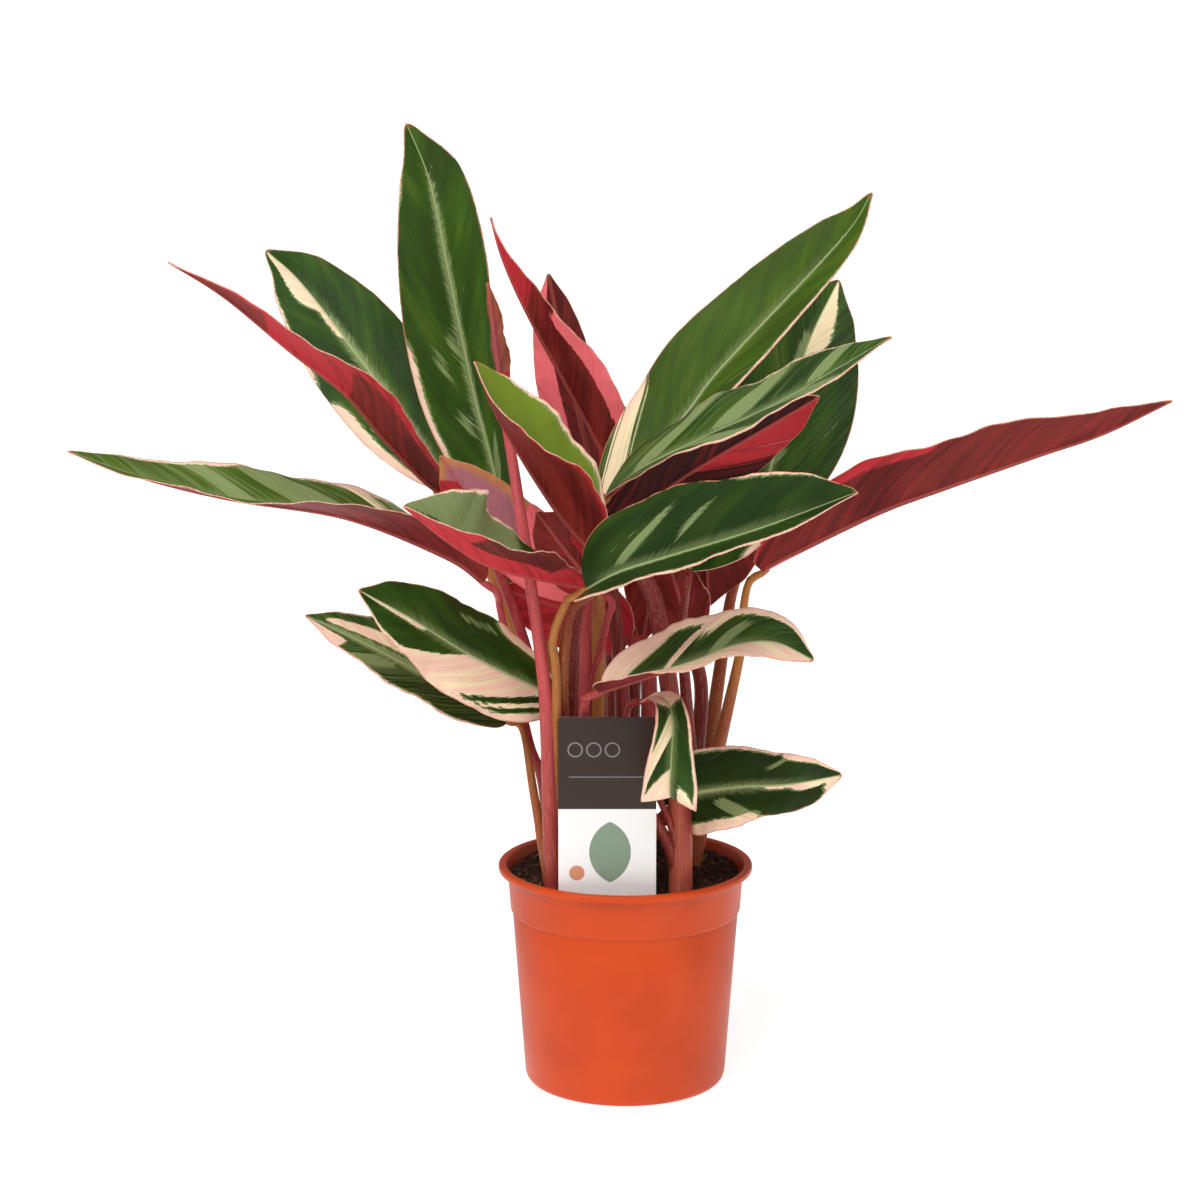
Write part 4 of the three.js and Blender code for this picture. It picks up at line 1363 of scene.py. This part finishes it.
def soilFinish(name, low, high):
    material, wire, lead = newFinish(name, Specular_IOR_Level=0.2)
    place = wire.place()
    clods = wire.grain(place, 160, 4.0, 0.65)
    fine = wire.grain(place, 900, 3.0, 0.6)
    colour = wire.mix(clods.rise(0.35, 0.68), tone(low), tone(high))
    colour = wire.mix(fine.rise(0.55, 0.75) * 0.5, colour, tone(soil["peat"]))
    lead(
        Base_Color=colour,
        Roughness=clods * 0.2 + 0.78,
        Normal=wire.bump(clods + fine * 0.6, 1.2, 0.8),
    )
    return material


def soilHeight(x, y):
    reach = math.hypot(x, y) / (wallRadius(soil["top"]) - pot["wall"])
    lumps = noise.fractal(Vector((x, y, 3)) / 9, 0.8, 2.1, 4)
    swell = noise.noise(Vector((x, y, 40)) / 34)
    front = smooth(-35, -52, y)
    rise = soil["edgeRise"] * reach ** 4 + lumps * soil["lumps"] + swell * 2
    return soil["top"] + rise * (1 - 0.6 * front) - soil["frontDip"] * front


def buildSoil():
    edge = wallRadius(soil["top"]) - pot["wall"] - 0.15
    low = wallRadius(soil["bottom"]) - pot["wall"] - 0.4
    rings = [(edge * (1 - ring / soil["rings"]), soil["top"]) for ring in range(soil["rings"] + 1)]
    bm = spun([(0, soil["bottom"]), (low, soil["bottom"]), *rings], soil["steps"])
    for vert in bm.verts:
        if vert.co.z > (soil["top"] - 5) * mm:
            vert.co.z = soilHeight(vert.co.x / mm, vert.co.y / mm) * mm
    dice = random.Random(soil["seed"])
    for index in range(soil["crumbs"] + soil["slivers"]):
        isSliver = index >= soil["crumbs"]
        angle, reach = dice.uniform(0, 2 * math.pi), (edge - 2) * math.sqrt(dice.random())
        x, y = reach * math.cos(angle), reach * math.sin(angle)
        size = dice.uniform(*soil["crumbSize"])
        sides = soil["sliverShape"] if isSliver else soil["crumbShape"]
        stretch = [size * side for side in sides]
        tilt = Matrix.Rotation(dice.uniform(0, 6.28), 4, "Z")
        tilt = tilt @ Matrix.Rotation(dice.uniform(-0.7, 0.7), 4, "Y")
        spot = Vector((x, y, soilHeight(x, y) + size * 0.25)) * mm
        shape = Matrix.Translation(spot) @ tilt @ Matrix.Diagonal((*(Vector(stretch) * mm), 1))
        crumb = bmesh.ops.create_icosphere(bm, subdivisions=1, radius=1, matrix=shape)
        for vert in crumb["verts"]:
            for face in vert.link_faces:
                face.material_index = 2 if isSliver else 1
    finishes = [
        soilFinish("potting soil", soil["dark"], soil["earth"]),
        soilFinish("soil crumbs", soil["earth"], soil["peat"]),
        soilFinish("bark slivers", soil["peat"], soil["straw"]),
    ]
    piece = newPiece("potting_soil", bm, finishes)
    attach(piece, "root")
    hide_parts("soil")


card = {
    "left": -44,
    "right": 19.4,
    "top": 261.6,
    "shoulder": 142.5,
    "shoulderDrop": 1,
    "stakeWidth": 22,
    "stakeTip": 88,
    "stakePoint": 12,
    "frontY": -60.4,
    "thickness": 0.8,
    "split": 200.7,
    "grey": "#35271f",
    "white": "#efeeec",
    "line": "#8d898c",
    "sage": "#7e927c",
    "clay": "#cf8a68",
    "greyCloud": "#2b1f1a",
    "whiteCloud": "#dedbd6",
    "backCloud": "#d8d5cf",
    "rings": ((-33, 240), (-21, 240), (-9, 240)),
    "ringRadius": 4.5,
    "ruleAt": (-12.3, 222),
    "ruleHalf": 24.8,
    "leafDiscs": ((-19, 172), (-2, 172)),
    "leafRadius": 22,
    "dot": (-32, 158),
    "dotRadius": 5,
    "cornerRadius": 2,
    "softEdge": 0.15,
    "softAngle": 40,
}


def cardFinish():
    material, wire, lead = newFinish("printed card", Specular_IOR_Level=0.3)
    place = wire.place()
    x, y, z = [part / mm for part in place.parts()]
    fibres = wire.grain(place, 700, 3.0)
    clouds = wire.grain(place, 25, 2.0)

    def away(centreX, centreZ):
        return wire.make(
            "ShaderNodeVectorMath", {"operation": "DISTANCE"},
            {0: wire.join(x, 0.0, z), 1: (centreX, 0.0, centreZ)}, out=1,
        )

    def disc(centre, radius):
        return away(*centre).rise(radius + 0.25, radius - 0.25)

    upper = wire.mix(clouds * 0.4, tone(card["grey"]), tone(card["greyCloud"]))
    for centre in card["rings"]:
        ring = (away(*centre) - card["ringRadius"]).size().rise(0.65, 0.3)
        upper = wire.mix(ring * 0.8, upper, tone(card["line"]))
    middle, height = card["ruleAt"]
    half = card["ruleHalf"]
    rule = (z - height).size().rise(0.5, 0.2) * (x - middle).size().rise(half + 0.2, half - 0.2)
    upper = wire.mix(rule * 0.7, upper, tone(card["line"]))
    leftDisc, rightDisc = [disc(centre, card["leafRadius"]) for centre in card["leafDiscs"]]
    lower = wire.mix(clouds * 0.3, tone(card["white"]), tone(card["whiteCloud"]))
    lower = wire.mix(leftDisc * rightDisc, lower, tone(card["sage"]))
    lower = wire.mix(disc(card["dot"], card["dotRadius"]), lower, tone(card["clay"]))
    isFront = y.rise(card["frontY"] + 0.5, card["frontY"] + 0.1)
    printed = wire.mix(z.rise(card["split"] - 0.2, card["split"] + 0.2), lower, upper)
    back = wire.mix(clouds * 0.3, tone(card["white"]), tone(card["backCloud"]))
    colour = wire.mix(isFront, back, printed)
    lead(
        Base_Color=colour,
        Roughness=clouds * 0.15 + 0.28,
        Normal=wire.bump(fibres, 0.05, 0.4),
    )
    return material


def buildCard():
    middle, stake = (card["left"] + card["right"]) / 2, card["stakeWidth"] / 2
    left, right, top = card["left"], card["right"], card["top"]
    foot = card["shoulder"] - card["shoulderDrop"]
    point = card["stakeTip"] + card["stakePoint"]
    outline = [
        (left, top), (left, card["shoulder"]), (middle - stake, foot), (middle - stake, point),
        (middle, card["stakeTip"]), (middle + stake, point), (middle + stake, foot),
        (right, card["shoulder"]), (right, top),
    ]
    bm = bmesh.new()
    verts = [bm.verts.new((x * mm, card["frontY"] * mm, z * mm)) for x, z in outline]
    front = bm.faces.new(verts)
    grown = bmesh.ops.extrude_face_region(bm, geom=[front])
    moved = [item for item in grown["geom"] if isinstance(item, bmesh.types.BMVert)]
    bmesh.ops.translate(bm, vec=(0, card["thickness"] * mm, 0), verts=moved)
    bmesh.ops.recalc_face_normals(bm, faces=bm.faces)
    corners = [
        edge for edge in bm.edges
        if abs(edge.verts[0].co.y - edge.verts[1].co.y) > 0.5 * card["thickness"] * mm
        and edge.verts[0].co.z > (card["top"] - 1) * mm
    ]
    bmesh.ops.bevel(
        bm, geom=corners, offset=card["cornerRadius"] * mm, affect="EDGES", segments=5,
        profile=0.5, material=-1,
    )
    piece = newPiece("care_label", bm, [cardFinish()])
    softenEdges(piece, card["softEdge"], card["softAngle"])
    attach(piece, "root")
    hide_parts("care_card")


studio = {
    "floor": "#c4c4c2",
    "floorCloud": "#c9c9c8",
    "floorGlow": 0.74,
    "floorSize": 9,
    "sky": "#ffffff",
    "skyStrength": 0.3,
    "seenStrength": 1.05,
    "sun": ((-0.25, -0.95, 1.5), 50, 1.95),
    "key": ((-1.6, -2.0, 2.0), 1.4, 20),
    "fill": ((2.2, -1.9, 1.2), 1.8, 8),
    "aim": (0, 0, 0.35),
    "camera": (-17.0, -1836.3, 664.0),
    "tilt": 10.4,
    "lens": 85,
}


def buildStudio():
    bm = bmesh.new()
    bmesh.ops.create_circle(bm, cap_ends=True, segments=96, radius=studio["floorSize"])
    material, wire, lead = newFinish(
        "pale floor", Roughness=0.9, Specular_IOR_Level=0.1,
        Emission_Color=tone(studio["sky"]), Emission_Strength=studio["floorGlow"],
    )
    clouds = wire.grain(wire.place(), 1.5, 2.0)
    lead(Base_Color=wire.mix(clouds, tone(studio["floor"]), tone(studio["floorCloud"])))
    newPiece("floor", bm, [material])
    place, spread, power = studio["sun"]
    sun = bpy.data.lights.new("sun", "SUN")
    sun.angle = math.radians(spread)
    sun.energy = power
    holder = bpy.data.objects.new("sun", sun)
    holder.rotation_euler = (-Vector(place)).to_track_quat("-Z", "Y").to_euler()
    bpy.context.scene.collection.objects.link(holder)
    for name in ("key", "fill"):
        place, size, power = studio[name]
        lamp = bpy.data.lights.new(name, "AREA")
        lamp.shape = "DISK"
        lamp.size = size
        lamp.energy = power
        holder = bpy.data.objects.new(name, lamp)
        holder.location = place
        away = Vector(studio["aim"]) - Vector(place)
        holder.rotation_euler = away.to_track_quat("-Z", "Y").to_euler()
        bpy.context.scene.collection.objects.link(holder)
    world = bpy.data.worlds.new("studio")
    world.use_nodes = True
    sky = next(node for node in world.node_tree.nodes if node.type == "BACKGROUND")
    sky.inputs["Color"].default_value = tone(studio["sky"])
    start = Wire(world.node_tree)
    seen = start.make("ShaderNodeLightPath")
    strength = seen * (studio["seenStrength"] - studio["skyStrength"]) + studio["skyStrength"]
    world.node_tree.links.new(strength.socket, sky.inputs["Strength"])
    scene = bpy.context.scene
    scene.world = world
    scene.view_settings.view_transform = "Standard"
    camera = bpy.data.cameras.new("camera")
    camera.lens = studio["lens"]
    camera.sensor_width = 36
    camera.sensor_fit = "HORIZONTAL"
    camera.clip_end = 50
    holder = bpy.data.objects.new("camera", camera)
    holder.location = Vector(studio["camera"]) * mm
    holder.rotation_euler = (math.radians(90 - studio["tilt"]), 0, 0)
    scene.collection.objects.link(holder)
    scene.camera = holder


buildStudio()
print("studio ready")
buildPot()
buildSoil()
buildCard()
print("pot, soil and card ready")
# wine gives the darker stalk finish that is painted shade
tints = ("pink", "olive", "brown", "crimson", "wine", "stem")
stalkFinishes = {tint: stalkFinish(tint) for tint in tints}
bladeFinishes = [upperFinish(), underFinish(), edgeFinish()]
bladeCount = 0
for shoot in shoots:
    buildShoot(shoot, stalkFinishes)
    for leaf in shoot["leaves"]:
        bladeCount += 1
        buildBlade(leaf, bladeCount, bladeFinishes)
    print(shoot["name"], "ready")
